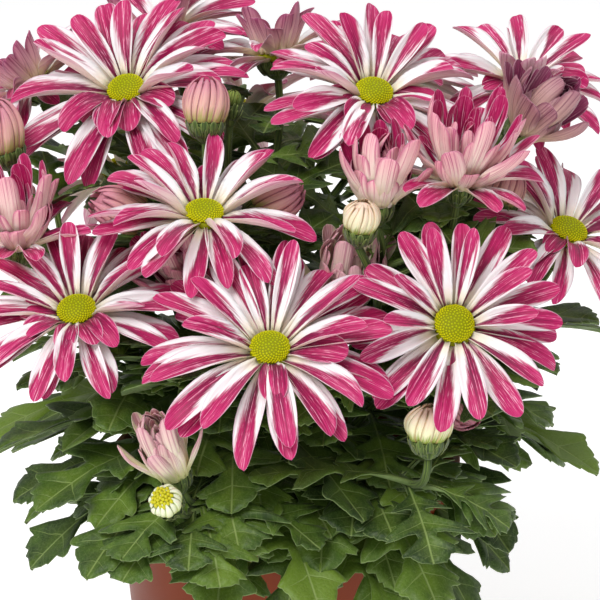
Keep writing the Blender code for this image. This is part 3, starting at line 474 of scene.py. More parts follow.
class Finish:
    """A material whose nodes are added one at a time to a Principled shader."""

    def __init__(self, name: str, **constants: float | tuple[float, ...]) -> None:
        """Start the material.

        Args:
            name: what the real material is and how its surface was made.
            constants: values of the shader's own sockets, with underscores for the spaces in their names.
        """
        self.material = bpy.data.materials.new(name)
        self.material.use_nodes = True
        self.tree = self.material.node_tree
        self.shader = self.tree.nodes["Principled BSDF"]
        for socket, value in constants.items():
            self.shader.inputs[socket.replace("_", " ")].default_value = value

    def add(self, kind: str, *values: object, stops: Sequence[tuple] = (), **settings: object) -> Node:
        """Add a node, with its settings and its links.

        Args:
            kind: the node's type, without its ShaderNode prefix.
            values: what its inputs in use get, in their order: a number, vector, hex colour, socket or node.
            stops: (position, hex colour) for a colour ramp, or (position, number).
            settings: the node's own properties, and under a name with a capital letter what that input gets.

        Returns:
            The node.
        """
        node = self.tree.nodes.new("ShaderNode" + kind)
        for name, value in settings.items():
            if name.islower():
                setattr(node, name, value)
        for number, (position, value) in enumerate(stops):
            ramp = node.color_ramp.elements
            element = ramp[number] if number < len(ramp) else ramp.new(position)
            element.position = position
            element.color = srgb(value) if isinstance(value, str) else (value, value, value, 1)
        sockets = [socket for socket in node.inputs if socket.enabled]
        given = list(zip(sockets, values, strict=False))
        given += [(node.inputs[name], value) for name, value in settings.items() if not name.islower()]
        for socket, value in given:
            if isinstance(value, (Node, Socket)):
                self.tree.links.new(self.output(value), socket)
            else:
                socket.default_value = srgb(value) if isinstance(value, str) else value
        return node

    def output(self, source: Node | Socket) -> Socket:
        """The socket itself, or a node's first output in use."""
        if isinstance(source, Socket):
            return source
        return next(socket for socket in source.outputs if socket.enabled)

    def link(self, socket: str, source: Node | Socket) -> None:
        """Link a node or socket to one of the shader's own sockets."""
        self.tree.links.new(self.output(source), self.shader.inputs[socket])

    def marks(self, name: str) -> tuple[Socket, ...]:
        """The three parts of one of the marks on the points."""
        mark = self.add("Attribute", attribute_name=name)
        return tuple(self.add("SeparateXYZ", mark.outputs["Vector"]).outputs)

    def weighted(self, base: object, *parts: tuple[object, float]) -> object:
        """The base plus each part times its weight."""
        for part, weight in parts:
            base = self.add("Math", part, weight, base, operation="MULTIPLY_ADD")
        return base

    def grain(self, across: float, along: float, tone: object, detail: float = 2.0) -> Node:
        """Noise in the plane of the UV map, about a mean of a half.

        Args:
            across: the size of its cells across the surface, in millimetres.
            along: their size along it.
            tone: the piece's own tone, for which each gets a pattern of its own.
            detail: how many finer octaves it has.

        Returns:
            The noise.
        """
        spot = self.add("UVMap", uv_map="UVMap")
        stretched = self.add("Mapping", spot, Scale=(CM / MM / across, CM / MM / along, 1))
        moved = self.add("CombineXYZ", Z=self.add("Math", tone, 37.0, operation="MULTIPLY"))
        return self.add("TexNoise", self.add("VectorMath", stretched, moved, operation="ADD"), 1.0, detail)


class Streaks(NamedTuple):
    """The noises along a floret, about 0: broad and fine streaks, and single cells."""

    broad: Node
    fibres: Node
    cells: Node


@dataclass(frozen=True)
class RayFloretFinish:
    """Living ray floret: velvety, thin enough to let light through, magenta inside a white margin, pale below."""

    name: str
    # The dark end of the band's colours: painted shade at the root
    shaded_root: str = "#6E123C"
    deep: str = "#8B0E48"
    full: str = "#B01058"
    bright: str = "#C93272"
    # The pale colour of the painted highlights on the band and of the painted sheen along the edges
    rim: str = "#F3C8DA"
    margin: str = "#FBF5F7"
    root: str = "#F8ECDD"
    below_root: str = "#F4E9CC"
    below: str = "#FBE4DC"
    below_tip: str = "#E7B0C3"
    below_vein: str = "#CE86A0"
    band: float = 0.0

    def material(self) -> Material:
        """Paint both sides by place on the floret, with streaks along it in colour and relief.

        Returns:
            The material.
        """
        paint = Finish(
            self.name,
            Roughness=0.42,
            Specular_IOR_Level=0.3,
            Sheen_Weight=0.04,
            Sheen_Roughness=0.4,
            Subsurface_Weight=0.1,
            Subsurface_Radius=(1.0, 0.5, 0.6),
            Subsurface_Scale=0.5 * MM,
        )
        _, _, tone = paint.marks("place")
        underside, _, _ = paint.marks("surface")
        # Streaks run the length of a floret, 2.2 mm and 0.35 mm wide; single cells are drawn coarse, 0.22 mm
        sizes = ((2.2, 90.0, tone, 1.0), (0.35, 36.0, tone, 2.0), (0.22, 3.6, tone, 3.0))
        streaks = Streaks(*(paint.add("Math", paint.grain(*size), -0.5) for size in sizes))
        upper, lower = self.upper(paint, streaks), self.lower(paint, streaks)
        paint.link("Base Color", paint.add("Mix", underside, upper, lower, **COLOURS))
        height = paint.weighted(streaks.fibres, (streaks.cells, 0.3))
        paint.link("Normal", paint.add("Bump", Height=height, Distance=0.25 * MM))
        return paint.material

    def coloured(self, paint: Finish, streaks: Streaks) -> Node:
        """How far each point of the upper side lies in the magenta band, or in a thin stripe of its own beside it.

        Args:
            paint: the material.
            streaks: its noises.

        Returns:
            0 on the white and 1 on the magenta.
        """
        add = paint.add
        across, along, tone = paint.marks("place")
        _, _, fuller = paint.marks("surface")
        # The band lies a little to one side at the root, and widens from a few fibres there to all of the tip
        sideways = add("Math", paint.weighted(0.6, (along, -0.6)), tone, operation="MULTIPLY")
        aside = add("Math", add("Math", across, sideways, operation="SUBTRACT"), operation="ABSOLUTE")
        widths = ((0.0, 0.16), (0.2, 0.27), (0.45, 0.38), (0.65, 0.52), (0.8, 0.7), (0.93, 1.0))
        widening = add("ValToRGB", along, stops=widths)
        own = add("Math", add("Math", tone, 9.0, operation="MULTIPLY"), operation="SINE")
        edge = paint.weighted(self.band, (fuller, 1.0), (widening, 1.2), (own, 0.1))
        edge = paint.weighted(edge, *zip(streaks, (0.5, 0.55, 0.35), strict=True))
        band = add("MapRange", paint.weighted(edge, (aside, -1.0)), -0.17, 0.11, **SMOOTHLY)
        beside = add("Math", paint.weighted(across, (own, -0.7)), operation="ABSOLUTE")
        stripe = paint.weighted(0.0, (along, 0.12), (streaks.fibres, 0.5), (beside, -1.0))
        stripe = add("MapRange", stripe, -0.07, 0.06, **SMOOTHLY)
        outward = add("MapRange", along, 0.1, 0.5, 0.0, 0.9, **SMOOTHLY)
        return add("Math", band, add("Math", stripe, outward, operation="MULTIPLY"), operation="MAXIMUM")

    def upper(self, paint: Finish, streaks: Streaks) -> Node:
        """The upper side: cream at the root, white, the band with painted shade toward its root and painted
        highlights on its fibres, and a pale rim of painted sheen.

        Args:
            paint: the material.
            streaks: its noises.

        Returns:
            Its colour.
        """
        add = paint.add
        across, along, _ = paint.marks("place")
        whitening = add("MapRange", along, 0.08, 0.3, **SMOOTHLY)
        pale = add("Mix", whitening, self.root, self.margin, **COLOURS)
        # Painted shade: the band darkens toward the root, and the streaks vary it
        depth = paint.weighted(along, *zip(streaks, (0.76, 1.9, 0.6), strict=True))
        depths = ((0.0, self.shaded_root), (0.3, self.deep), (0.65, self.full), (1.0, self.bright))
        # Painted highlights: where fibres and cells run high, the band turns to the pale rim colour
        glints = add("MapRange", add("Math", streaks.fibres, streaks.cells), 0.08, 0.34, 0.0, 0.74, **SMOOTHLY)
        strong = add("Mix", glints, add("ValToRGB", depth, stops=depths), self.rim, **COLOURS)
        colour = add("Mix", self.coloured(paint, streaks), pale, strong, **COLOURS)
        # Painted sheen: a pale line along both edges of the outer half
        edge = add("MapRange", add("Math", across, operation="ABSOLUTE"), 0.9, 0.99, **SMOOTHLY)
        outward = add("MapRange", along, 0.35, 0.7, 0.0, 0.7, **SMOOTHLY)
        rim = add("Math", edge, outward, operation="MULTIPLY")
        return add("Mix", rim, colour, self.rim, **COLOURS)

    def lower(self, paint: Finish, streaks: Streaks) -> Node:
        """The underside: paler, flushed toward the tip, with deeper veins and edges.

        Args:
            paint: the material.
            streaks: its noises.

        Returns:
            Its colour.
        """
        add = paint.add
        across, along, _ = paint.marks("place")
        flushes = ((0.1, self.below_root), (0.45, self.below), (1.0, self.below_tip))
        flushed = add("ValToRGB", paint.weighted(along, (streaks.fibres, 0.5)), stops=flushes)
        veined = add("Math", add("MapRange", streaks.fibres, 0.03, 0.15, **SMOOTHLY), along, operation="MULTIPLY")
        edge = add("MapRange", add("Math", across, operation="ABSOLUTE"), 0.7, 0.98, 0.0, 0.8, **SMOOTHLY)
        outward = add("MapRange", along, 0.2, 0.8, **SMOOTHLY)
        edged = add("Math", edge, outward, operation="MULTIPLY")
        lined = add("Math", veined, edged, operation="MAXIMUM")
        return add("Mix", lined, flushed, self.below_vein, **COLOURS)


@dataclass(frozen=True)
class LeafFinish:
    """Living leaf: finely haired and dull, dark above with lighter veins, grey-green below."""

    name: str
    dark: str = "#263C13"
    mid: str = "#3F5A19"
    light: str = "#5F7A22"
    young: str = "#6F8A2A"
    vein: str = "#8CA05C"
    rim: str = "#8FA366"
    below: str = "#6F8450"

    def material(self) -> Material:
        """Paint patches, the midrib, a vein to each lobe and a faint net by place on the leaf.

        Returns:
            The material.
        """
        paint = Finish(
            self.name,
            Roughness=0.48,
            Specular_IOR_Level=0.3,
            Sheen_Weight=0.04,
            Sheen_Roughness=0.5,
            Subsurface_Weight=0.05,
            Subsurface_Radius=(0.5, 1.0, 0.2),
            Subsurface_Scale=0.5 * MM,
        )
        add = paint.add
        across, _, tone = paint.marks("place")
        underside, _, youth = paint.marks("surface")
        side = add("Math", across, operation="ABSOLUTE")
        patches = paint.grain(8.0, 10.0, tone, detail=4.0)
        greens = ((0.3, self.dark), (0.52, self.mid), (0.85, self.light))
        green = add("ValToRGB", paint.weighted(patches, (tone, 0.2)), stops=greens)
        near_rib = add("MapRange", side, 0.75, 0.0, 0.0, 0.55, **SMOOTHLY)
        glow = add("Math", youth, add("Math", near_rib, patches, operation="MULTIPLY"), operation="MAXIMUM")
        green = add("Mix", glow, green, self.young, **COLOURS)
        hairs = add("MapRange", paint.grain(0.6, 0.8, tone), 0.45, 0.75, 0.0, 0.34, **SMOOTHLY)
        haired = add("Math", hairs, patches, operation="MULTIPLY")
        green = add("Mix", haired, green, self.rim, **COLOURS)
        flat = add("UVMap", uv_map="UVMap")
        net = add("TexVoronoi", flat, CM / (1.8 * MM), feature="DISTANCE_TO_EDGE")
        lines = self.lines(paint, side, patches, net)
        upper = add("Mix", lines, green, self.vein, **COLOURS)
        rim = add("MapRange", side, 0.965, 1.0, 0.0, 0.5, **SMOOTHLY)
        upper = add("Mix", rim, upper, self.rim, **COLOURS)
        lower = add("Mix", add("Math", lines, 0.6, operation="MULTIPLY"), self.below, self.vein, **COLOURS)
        paint.link("Base Color", add("Mix", underside, upper, lower, **COLOURS))
        blisters = add("MapRange", net, 0.0, 0.5, 0.0, 0.3, **SMOOTHLY)
        height = paint.weighted(blisters, (patches, 1.0), (lines, -0.9))
        paint.link("Normal", add("Bump", Height=height, Distance=0.2 * MM))
        return paint.material

    def lines(self, paint: Finish, side: Node, patches: Node, net: Node) -> Node:
        """The veins: the midrib within 0.45 mm, those of the lobes where they leave it, and the faint net.

        Args:
            paint: the material.
            side: how far out across the leaf, from 0 to 1.
            patches: the slow noise that lets the veins wander.
            net: the distance to the net's lines.

        Returns:
            How much of a vein each point shows.
        """
        add = paint.add
        _, along, _ = paint.marks("place")
        from_rib = add("Math", add("SeparateXYZ", add("UVMap", uv_map="UVMap")), operation="ABSOLUTE")
        lines = add("MapRange", from_rib, 0.045, 0.015, 0.0, 0.8, **SMOOTHLY)
        wander = paint.weighted(along, (add("Math", patches, -0.5), 0.03))
        for knot, width in LEAF_VEINS:
            aside = add("Math", add("Math", wander, knot, operation="SUBTRACT"), operation="ABSOLUTE")
            reach = paint.weighted(aside, (side, 0.7 * width))
            vein = add("MapRange", reach, width, 0.3 * width, 0.0, 0.6, **SMOOTHLY)
            lines = add("Math", lines, vein, operation="MAXIMUM")
        return add("Math", lines, add("MapRange", net, 0.09, 0.0, 0.0, 0.1, **SMOOTHLY), operation="MAXIMUM")


@dataclass(frozen=True)
class StemFinish:
    """Living stem and bract: green, ribbed along its length and finely haired."""

    name: str
    dark: str = "#33481A"
    light: str = "#6A8038"
    margin: str = "#A9B36A"

    def material(self) -> Material:
        """Paint ribs about 0.5 mm apart along the stem, and the pale tips and margins of the bracts.

        Returns:
            The material.
        """
        paint = Finish(self.name, Roughness=0.55, Specular_IOR_Level=0.3, Sheen_Weight=0.15)
        add = paint.add
        across, along, tone = paint.marks("place")
        _, _, bract = paint.marks("surface")
        ribs = paint.grain(0.5, 9.0, tone)
        green = add("Mix", add("MapRange", ribs, 0.35, 0.7, **SMOOTHLY), self.dark, self.light, **COLOURS)
        edge = add("MapRange", add("Math", across, operation="ABSOLUTE"), 0.75, 1.0, 0.0, 0.5, **SMOOTHLY)
        tip = add("MapRange", along, 0.8, 1.0, 0.0, 0.4, **SMOOTHLY)
        pale = add("Math", add("Math", edge, tip), bract, operation="MULTIPLY")
        paint.link("Base Color", add("Mix", pale, green, self.margin, **COLOURS))
        paint.link("Normal", add("Bump", Height=ribs, Distance=0.2 * MM))
        return paint.material


@dataclass(frozen=True)
class DiscFinish:
    """Disc florets: waxy yellow-green tubes packed so tightly that only their tops show."""

    name: str
    valley: str = "#8A8C00"
    crown: str = "#D3CE00"
    middle: str = "#B4BC00"

    def material(self) -> Material:
        """Paint each floret dark at its foot as painted shade, yellow on its crown and greener at the disc's
        middle.

        Returns:
            The material.
        """
        paint = Finish(self.name, Roughness=0.6, Specular_IOR_Level=0.15, Subsurface_Weight=0.05)
        add = paint.add
        _, height, tone = paint.marks("place")
        _, outward, _ = paint.marks("surface")
        riper = add("MapRange", outward, 0.1, 0.8, **SMOOTHLY)
        top = add("Mix", riper, self.middle, self.crown, **COLOURS)
        duller = add("MapRange", tone, -1.0, 1.0, 0.0, 0.3, **SMOOTHLY)
        top = add("Mix", duller, top, self.valley, **COLOURS)
        # Painted shade: each floret darkens toward its foot, in the valleys between the florets
        raised = add("MapRange", height, 0.05, 0.7, **SMOOTHLY)
        paint.link("Base Color", add("Mix", raised, self.valley, top, **COLOURS))
        return paint.material


@dataclass(frozen=True)
class BudFinish:
    """Closed bud: folded florets, green at the foot, with darker seams where they overlap."""

    name: str
    foot: str
    flank: str
    tip: str
    seam: str
    middle: str = "#C9C31E"

    def material(self) -> Material:
        """Paint from foot to tip, with fibres along each folded floret and a seam at its edge.

        Returns:
            The material.
        """
        paint = Finish(
            self.name, Roughness=0.5, Specular_IOR_Level=0.35, Subsurface_Weight=0.1, Subsurface_Scale=0.8 * MM
        )
        add = paint.add
        across, along, tone = paint.marks("place")
        _, crown, _ = paint.marks("surface")
        # Fibres 0.4 mm wide
        fibres = add("Math", paint.grain(0.4, 12.0, tone), -0.5)
        levels = ((0.08, self.foot), (0.32, self.flank), (0.9, self.tip))
        body = add("ValToRGB", paint.weighted(along, (fibres, 0.7)), stops=levels)
        edge = add("MapRange", add("Math", across, operation="ABSOLUTE"), 0.6, 0.95, 0.0, 0.75, **SMOOTHLY)
        vein = add("MapRange", fibres, 0.06, 0.2, 0.0, 0.4, **SMOOTHLY)
        lines = add("Math", edge, vein, operation="MAXIMUM")
        seamed = add("Mix", lines, body, self.seam, **COLOURS)
        paint.link("Base Color", add("Mix", crown, seamed, self.middle, **COLOURS))
        paint.link("Normal", add("Bump", Height=fibres, Distance=0.2 * MM))
        return paint.material


@dataclass(frozen=True)
class PotFinish:
    """Injection-moulded polypropylene, terracotta brown: satin, with a faint texture of the mould."""

    name: str
    body: str = "#7A2F0C"
    worn: str = "#843A1A"

    def material(self) -> Material:
        """Paint an even brown, a little lighter where it has been handled, with texture 0.5 mm across.

        Returns:
            The material.
        """
        paint = Finish(self.name, Roughness=0.5, IOR=1.49, Specular_IOR_Level=0.2)
        add = paint.add
        spot = add("TexCoord").outputs["Object"]
        handled = add("TexNoise", spot, 1 / (22 * MM), 4.0)
        texture = add("TexNoise", spot, 1 / (0.5 * MM), 2.0)
        wear = add("MapRange", handled, 0.45, 0.75, 0.0, 0.5, **SMOOTHLY)
        paint.link("Base Color", add("Mix", wear, self.body, self.worn, **COLOURS))
        paint.link("Roughness", add("MapRange", handled, 0.3, 0.7, 0.38, 0.5))
        paint.link("Normal", add("Bump", Height=texture, Distance=0.03 * MM))
        return paint.material


@dataclass(frozen=True)
class PeatFinish:
    """Moist peat: dark, dull and crumbly, with paler fibres and a few grains of perlite."""

    name: str
    wet: str = "#1B130D"
    dry: str = "#3D2C1F"
    grit: str = "#8F857A"

    def material(self) -> Material:
        """Paint crumbs 3 mm across with fine grains, and rare pale grit of 1 mm.

        Returns:
            The material.
        """
        paint = Finish(self.name, Roughness=0.95, Specular_IOR_Level=0.15)
        add = paint.add
        spot = add("TexCoord").outputs["Object"]
        crumbs = add("TexNoise", spot, 1 / (3 * MM), 8.0)
        grains = add("TexVoronoi", spot, 1 / (1.1 * MM))
        dried = add("MapRange", crumbs, 0.35, 0.7, **SMOOTHLY)
        brown = add("Mix", dried, self.wet, self.dry, **COLOURS)
        rare = add("MapRange", add("SeparateXYZ", grains.outputs["Color"]), 0.97, 0.98, **SMOOTHLY)
        paint.link("Base Color", add("Mix", rare, brown, self.grit, **COLOURS))
        paint.link("Normal", add("Bump", Height=crumbs, Distance=1.2 * MM))
        return paint.material


@dataclass(frozen=True)
class Floret:
    """A ray floret or a bract in its head's frame, on an arc whose slope runs from pitch to pitch + bend."""

    angle: float
    radius: float
    height: float
    length: float
    width: float
    pitch: float
    bend: float
    swing: float = 0.0
    twist: float = 0.0
    tone: float = 0.0
    fold: float = 0.4
    pointed: float = 2.3
    shoulder: float = 0.64
    depth: float = 0.42 * MM
    root: float = 0.36
    roll: float = 0.0
    fuller: float = 0.0
    inset: float = 0.0
    hook: float = 0.0

    def rib(self, s: Array) -> tuple[Array, Array, Array]:
        """The arc.

        Args:
            s: places along the floret, from 0 at its root to 1 at its tip.

        Returns:
            The rib's points, and the directions across it and out of its upper face.
        """
        slope = self.pitch + self.bend * s
        out = self.length * (np.sin(slope) - sin(self.pitch)) / self.bend
        up = self.length * (cos(self.pitch) - np.cos(slope)) / self.bend
        radial = np.array((cos(self.angle), sin(self.angle), 0.0))
        across = np.array((-sin(self.angle), cos(self.angle), 0.0))
        middle = np.outer(self.radius + out, radial) + np.outer(out * self.swing, across)
        middle += np.outer(self.height + up, UP)
        normal = np.outer(-np.sin(slope), radial) + np.outer(np.cos(slope), UP)
        turn = (self.twist * s)[:, None]
        side = np.cos(turn) * across + np.sin(turn) * normal
        return middle, side, np.cos(turn) * normal - np.sin(turn) * across

    def solid_tip(self) -> Array:
        """The four corners of the solid floret's tip."""
        middle, side, face = (part[0] for part in self.rib(np.array([1.0])))
        half_width = side * SOLID_PETAL_TIP * self.width / 2
        half_depth = face * SOLID_PETAL_DEPTH / 2
        return np.array([middle + a * half_width + b * half_depth for a, b in product((-1, 1), repeat=2)])

    def add_to(self, patch: Patchwork, head: Head, rows: int, columns: int) -> None:
        """Add the floret as a channelled blade.

        Across it, v runs from -1 to 1. The half width is (root + (1 - root) sin) of s, with a round end.
        The height is fold times the half width times v², so that the edges stand up, with two grooves cos(2 pi v)
        and an edge that waves as v³ times a sine of s. The tip bends up or down by s to the sixth power and hooks
        inward by s to the fourth, and the whole floret bows sideways by s² and rolls about its rib. The lower
        face is a thickness below, thinner at the edges.

        Args:
            patch: what the blade is added to.
            head: the head it stands on.
            rows: points along it.
            columns: points across it.
        """
        s = 1 - (1 - np.linspace(0, 1, rows)) ** 1.5
        s[0] = -self.inset / self.length
        v = np.linspace(-1, 1, columns)
        taper = self.root + (1 - self.root) * np.sin(pi / 2 * np.clip(s / 0.62, 0, 1))
        past = np.clip((s - self.shoulder) / (1 - self.shoulder), 0, 1)
        end = np.sqrt(np.clip(1 - past**self.pointed, 0.0004, 1))
        half = self.width / 2 * taper * end
        middle, side, face = self.rib(s)
        turn = self.roll * s * (1.6 - 0.6 * s)
        side, face = (
            np.cos(turn)[:, None] * side + np.sin(turn)[:, None] * face,
            np.cos(turn)[:, None] * face - np.sin(turn)[:, None] * side,
        )
        middle = middle + side * (0.045 * wobble(self.tone, 5) * self.length * s**2)[:, None]
        x = half[:, None] * v * (1 - 0.1 * self.fold * v**2)
        bowl = self.fold * (1.25 - 0.7 * s)[:, None] * half[:, None] * v**2
        grooves = 0.075 * half[:, None] * np.cos(2 * pi * v) * np.clip(np.sin(pi * s[:, None]), 0, 1) ** 0.5
        wave = 0.09 * half[:, None] * np.sin(2 * pi * (1.4 * s[:, None] + self.tone)) * v**3
        dip = (0.02 + 0.07 * wobble(self.tone, 4)) * self.length * s[:, None] ** 6
        dip -= self.hook * self.length * s[:, None] ** 4
        z = bowl + grooves + wave - dip
        depth = self.depth * (1 - 0.6 * v**2) * (1 - 0.4 * s[:, None] ** 4)
        upper = middle[:, None] + side[:, None] * x[..., None] + face[:, None] * (z + depth / 2)[..., None]
        lower = upper - face[:, None] * depth[..., None]
        place = stacked(v[None, :], s[:, None], self.tone)
        flat = stacked(x, s[:, None] * self.length)
        patch.add_blade(head.to_world(upper), head.to_world(lower), flat, place, kind=self.fuller)


class Solid:
    """A node of the frame, to ask what of it stands where."""

    def __init__(self, name: str) -> None:
        """Read the node's mesh.

        Args:
            name: the node's name.
        """
        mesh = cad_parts[name].data
        self.name = name
        points = np.empty((len(mesh.vertices), 3))
        mesh.vertices.foreach_get("co", points.ravel())
        self.nearest = KDTree(len(points))
        for i, point in enumerate(points):
            self.nearest.insert(point, i)
        self.nearest.balance()
        self.low, self.high = points.min(0), points.max(0)
        self.tree = BVHTree.FromPolygons(points.tolist(), [tuple(face.vertices) for face in mesh.polygons])

    def misses(self, points: Array, radius: float = 0.0, most: float = MM) -> float:
        """How far the points are from corners of the solid, or from that radius of one, each counted to most."""
        gaps = (abs(self.nearest.find(point)[2] - radius) for point in points)
        return sum(min(most, gap) for gap in gaps)

    def touches(self, points: Array, tree: BVHTree) -> bool:
        """Whether a shape cuts the solid's surface."""
        if (points.min(0) > self.high).any() or (points.max(0) < self.low).any():
            return False
        return bool(self.tree.overlap(tree))


def is_clear(points: Array, faces: Faces, others: Iterable[Solid]) -> bool:
    """Whether a shape cuts none of the solids."""
    tree = BVHTree.FromPolygons(points.tolist(), faces)
    return not any(other.touches(points, tree) for other in others)


def bends_of(floret: Floret) -> Iterator[Floret]:
    """The floret in each of its small bends, the slightest first."""
    for lift, swing, part in PETAL_BENDS:
        pitch = floret.pitch + radians(lift)
        yield replace(floret, pitch=pitch, swing=radians(swing), length=floret.length * part)


def solid_florets(head: Head, index: int) -> Iterator[Floret]:
    """The florets of the head's solid before they are bent to make room, by the formulas of the solid.

    Args:
        head: an open bloom or a half-open head.
        index: its number among all heads.

    Yields:
        The florets, those of its two rounds by turns.
    """
    is_open = head in BLOOMS
    radius = (RING_RADIUS if is_open else HALF_OPEN_RADIUS) * cos(pi / head.petals)
    tier = (RING_TOP - RING_LOW) / 2
    for column in range(head.petals):
        angle = 2 * pi * (column + 0.5) / head.petals
        upper = column % 2 == 0
        loose, bow, size = (wobble(index, column, key) for key in (1, 2, 3))
        pitch, bend, length = (22, -30, 0.94) if upper else (6, -26, 1.0)
        width = PETAL_WIDTH * head.reach
        short = False
        if not is_open:
            pitch, bend, length = (head.inner, 4, 1.0) if upper else (head.outer, -8, 0.96)
            width = HALF_OPEN_PETAL_WIDTH
            bend += head.curl
        elif upper and head.tilt > 20 and cos(angle) > 0.4 and size > 0.1:
            pitch, bend, length = 46, -70, 0.62
            short = True
        else:
            pitch += head.rise * (1 - cos(angle)) / 2
        span = head.reach * MM - (radius if is_open else 0)
        yield Floret(
            angle=angle,
            radius=radius,
            height=(RING_TOP - tier / 2) if upper else (RING_LOW + tier / 2),
            length=span * (length + 0.05 * size),
            width=width * (1 + 0.06 * bow) * MM,
            pitch=radians(pitch + (5 if is_open else 4) * loose),
            bend=radians(bend + 7 * bow),
            twist=radians(14 * size),
            tone=wobble(index, column, 5),
            fold=0.5 if short else 0.66 + 0.24 * wobble(index, column, 6),
            pointed=1.95 + 0.4 * wobble(index, column, 7),
            roll=radians(26 * wobble(index, column, 8)),
            fuller=0.85 if short else 0.0,
        )


def place_florets(head: Head, index: int, solid: Solid) -> Iterator[Floret]:
    """Each floret in the one of the solid's small bends that brings its tip to the solid's."""
    for floret in solid_florets(head, index):
        meeting = (bent for bent in bends_of(floret) if solid.misses(head.to_world(bent.solid_tip())) < 4 * MEETS)
        yield from islice(meeting, 1)


@dataclass(frozen=True)
class OpenBloom:
    """A daisy bloom: ray florets in rounds about a disc of tubular ones.

    The solid's two rounds are widened. Then come a third round and upright florets of the numbers given, and curled
    ones where the bloom's lean is within curled_leans and their own size isn't below curled_smallest. The third
    round and the curled ones stay less steep than steepest.
    """

    head: Head
    index: int
    rows: int = 15
    columns: int = 9
    third: int = 9
    curled: int = 5
    curled_leans: tuple[float, float] = (24, 45)
    curled_smallest: float = -0.4
    upright: int = 6
    steepest: float = 56
    widen: float = 1.15
    disc_florets: int = 240

    @property
    def span(self) -> float:
        """The length of a full floret."""
        return self.head.reach * MM - RING_RADIUS

    @property
    def width(self) -> float:
        """The width of a full floret, before it is widened."""
        return PETAL_WIDTH * self.head.reach * MM

    def florets(self) -> Iterator[Floret]:
        """All of the bloom's ray florets.

        Yields:
            Those of the solid, then those of the low, upright and collar ones that have room.
        """
        others = [node for node in HEAD_SOLIDS if not node.name.startswith(self.head.name)]
        for floret in place_florets(self.head, self.index, Solid(self.head.name + "_rays")):
            yield replace(floret, width=floret.width * self.widen, inset=PETAL_INSET)
        for floret in self.low_florets():
            yield from self.fitting(floret, others, radians(self.steepest))
        for floret in chain(self.upright_florets(), self.collar_florets()):
            yield from self.fitting(floret, others, pi / 2)

    def low_florets(self) -> Iterator[Floret]:
        """The florets below and before the solid's two rounds.

        Yields:
            A third round and, on a bloom that leans well to the front, short ones that curl down over its front.
        """
        least, most = self.curled_leans
        for k in range(self.third + (self.curled if least <= self.head.tilt <= most else 0)):
            tone, size, loose = (wobble(self.index, k, key) for key in (11, 12, 13))
            angle = 2 * pi * (k + 0.25 * loose) / self.third
            low = Floret(
                angle=angle,
                radius=0.93 * RING_RADIUS,
                height=RING_LOW + 0.2 * MM,
                length=self.span * (0.96 + 0.06 * size),
                width=self.width * self.widen * (1 + 0.08 * size),
                pitch=radians(2 + self.head.rise * (1 - cos(angle)) / 2.4 + 4 * loose),
                bend=radians(-24 + 6 * size),
                twist=radians(12 * size),
                tone=tone,
                fold=0.6 + 0.2 * tone,
                pointed=1.95 + 0.35 * size,
                inset=PETAL_INSET,
                roll=radians(20 * loose),
            )
            if k < self.third:
                yield low
            elif size >= self.curled_smallest:
                yield replace(
                    low,
                    angle=radians(33 * (k - self.third - self.curled // 2) + 9 * loose),
                    radius=INNER_RADIUS,
                    height=INNER_HEIGHT,
                    length=self.span * (0.44 + 0.14 * size),
                    pitch=radians(33 + 8 * size),
                    bend=radians(-58 + 16 * tone),
                    fold=0.36,
                    fuller=0.8,
                )

    def upright_florets(self) -> Iterator[Floret]:
        """The florets behind the disc of a full bloom.

        Yields:
            Florets that stand up, fanned out over the uphill side.
        """
        for k in range(self.upright if self.head.petals == FULL_ROUND else 0):
            tone, size, loose = (wobble(self.index, k, key) for key in (17, 18, 19))
            yield Floret(
                angle=pi + radians(38) * (k - (self.upright - 1) / 2) + 0.12 * loose,
                radius=INNER_RADIUS,
                height=INNER_HEIGHT,
                length=self.span * (0.8 + 0.1 * size),
                width=self.width * (0.94 + 0.1 * tone),
                pitch=radians(45 + 6 * tone),
                bend=radians(-20 + 14 * loose),
                twist=radians(14 * tone),
                tone=size,
                fold=0.8 + 0.15 * tone,
                roll=radians(30 * loose),
                inset=PETAL_INSET,
            )

    def collar_florets(self) -> Iterator[Floret]:
        """The florets at the front of a bloom seen from behind or from its side.

        Yields:
            Florets that stand up steeply, as many as the head's collar.
        """
        front = atan2(*self.head.front[::-1])
        for k in range(self.head.collar):
            tone, size = wobble(self.index, k, 15), wobble(self.index, k, 16)
            yield Floret(
                angle=front + radians(24) * (k - (self.head.collar - 1) / 2) + 0.1 * tone,
                radius=INNER_RADIUS,
                height=INNER_HEIGHT,
                length=self.span * (0.64 + 0.1 * size),
                width=self.width * 1.1,
                pitch=radians(62 + 8 * tone),
                bend=radians(-6 + 24 * size),
                tone=tone,
                fold=0.8,
                roll=radians(30 * size),
            )

    def fitting(self, floret: Floret, others: Sequence[Solid], steepest: float) -> Iterator[Floret]:
        """The floret in its slightest bend that cuts no other head.

        Args:
            floret: the floret before it is bent.
            others: the solids of the other heads.
            steepest: the pitch that it stays under.

        Yields:
            That floret, if there is one.
        """
        fitting = (
            bent
            for bent in bends_of(floret)
            if bent.pitch < steepest and is_clear(*outline_shape(self.head, bent), others)
        )
        yield from islice(fitting, 1)

    def dress(self, rays: Material, disc: Material) -> None:
        """Build the ray florets and the disc.

        Args:
            rays: the finish of the ray florets.
            disc: the finish of the disc.
        """
        patch = Patchwork()
        for floret in self.florets():
            floret.add_to(patch, self.head, self.rows, self.columns)
        patch.piece(self.head.name + "_ray_florets", rays, [self.head.name + "_rays"], "magenta_florets")
        patch = Patchwork()
        self.add_receptacle(patch)
        self.add_disc(patch)
        patch.piece(self.head.name + "_disc_florets", disc, [self.head.name + "_disc"], "yellow_florets")

    def add_receptacle(self, patch: Patchwork) -> None:
        """Add what the florets stand on: a profile of (radius, height) turned about the head's axis."""
        profile = np.array(((0, -2), (6.2, -2), (6.8, -1.2), (6.8, -0.2), (6.2, 0.6), (0, 0.9))) * MM
        add_turned(patch, self.head, profile, 28)

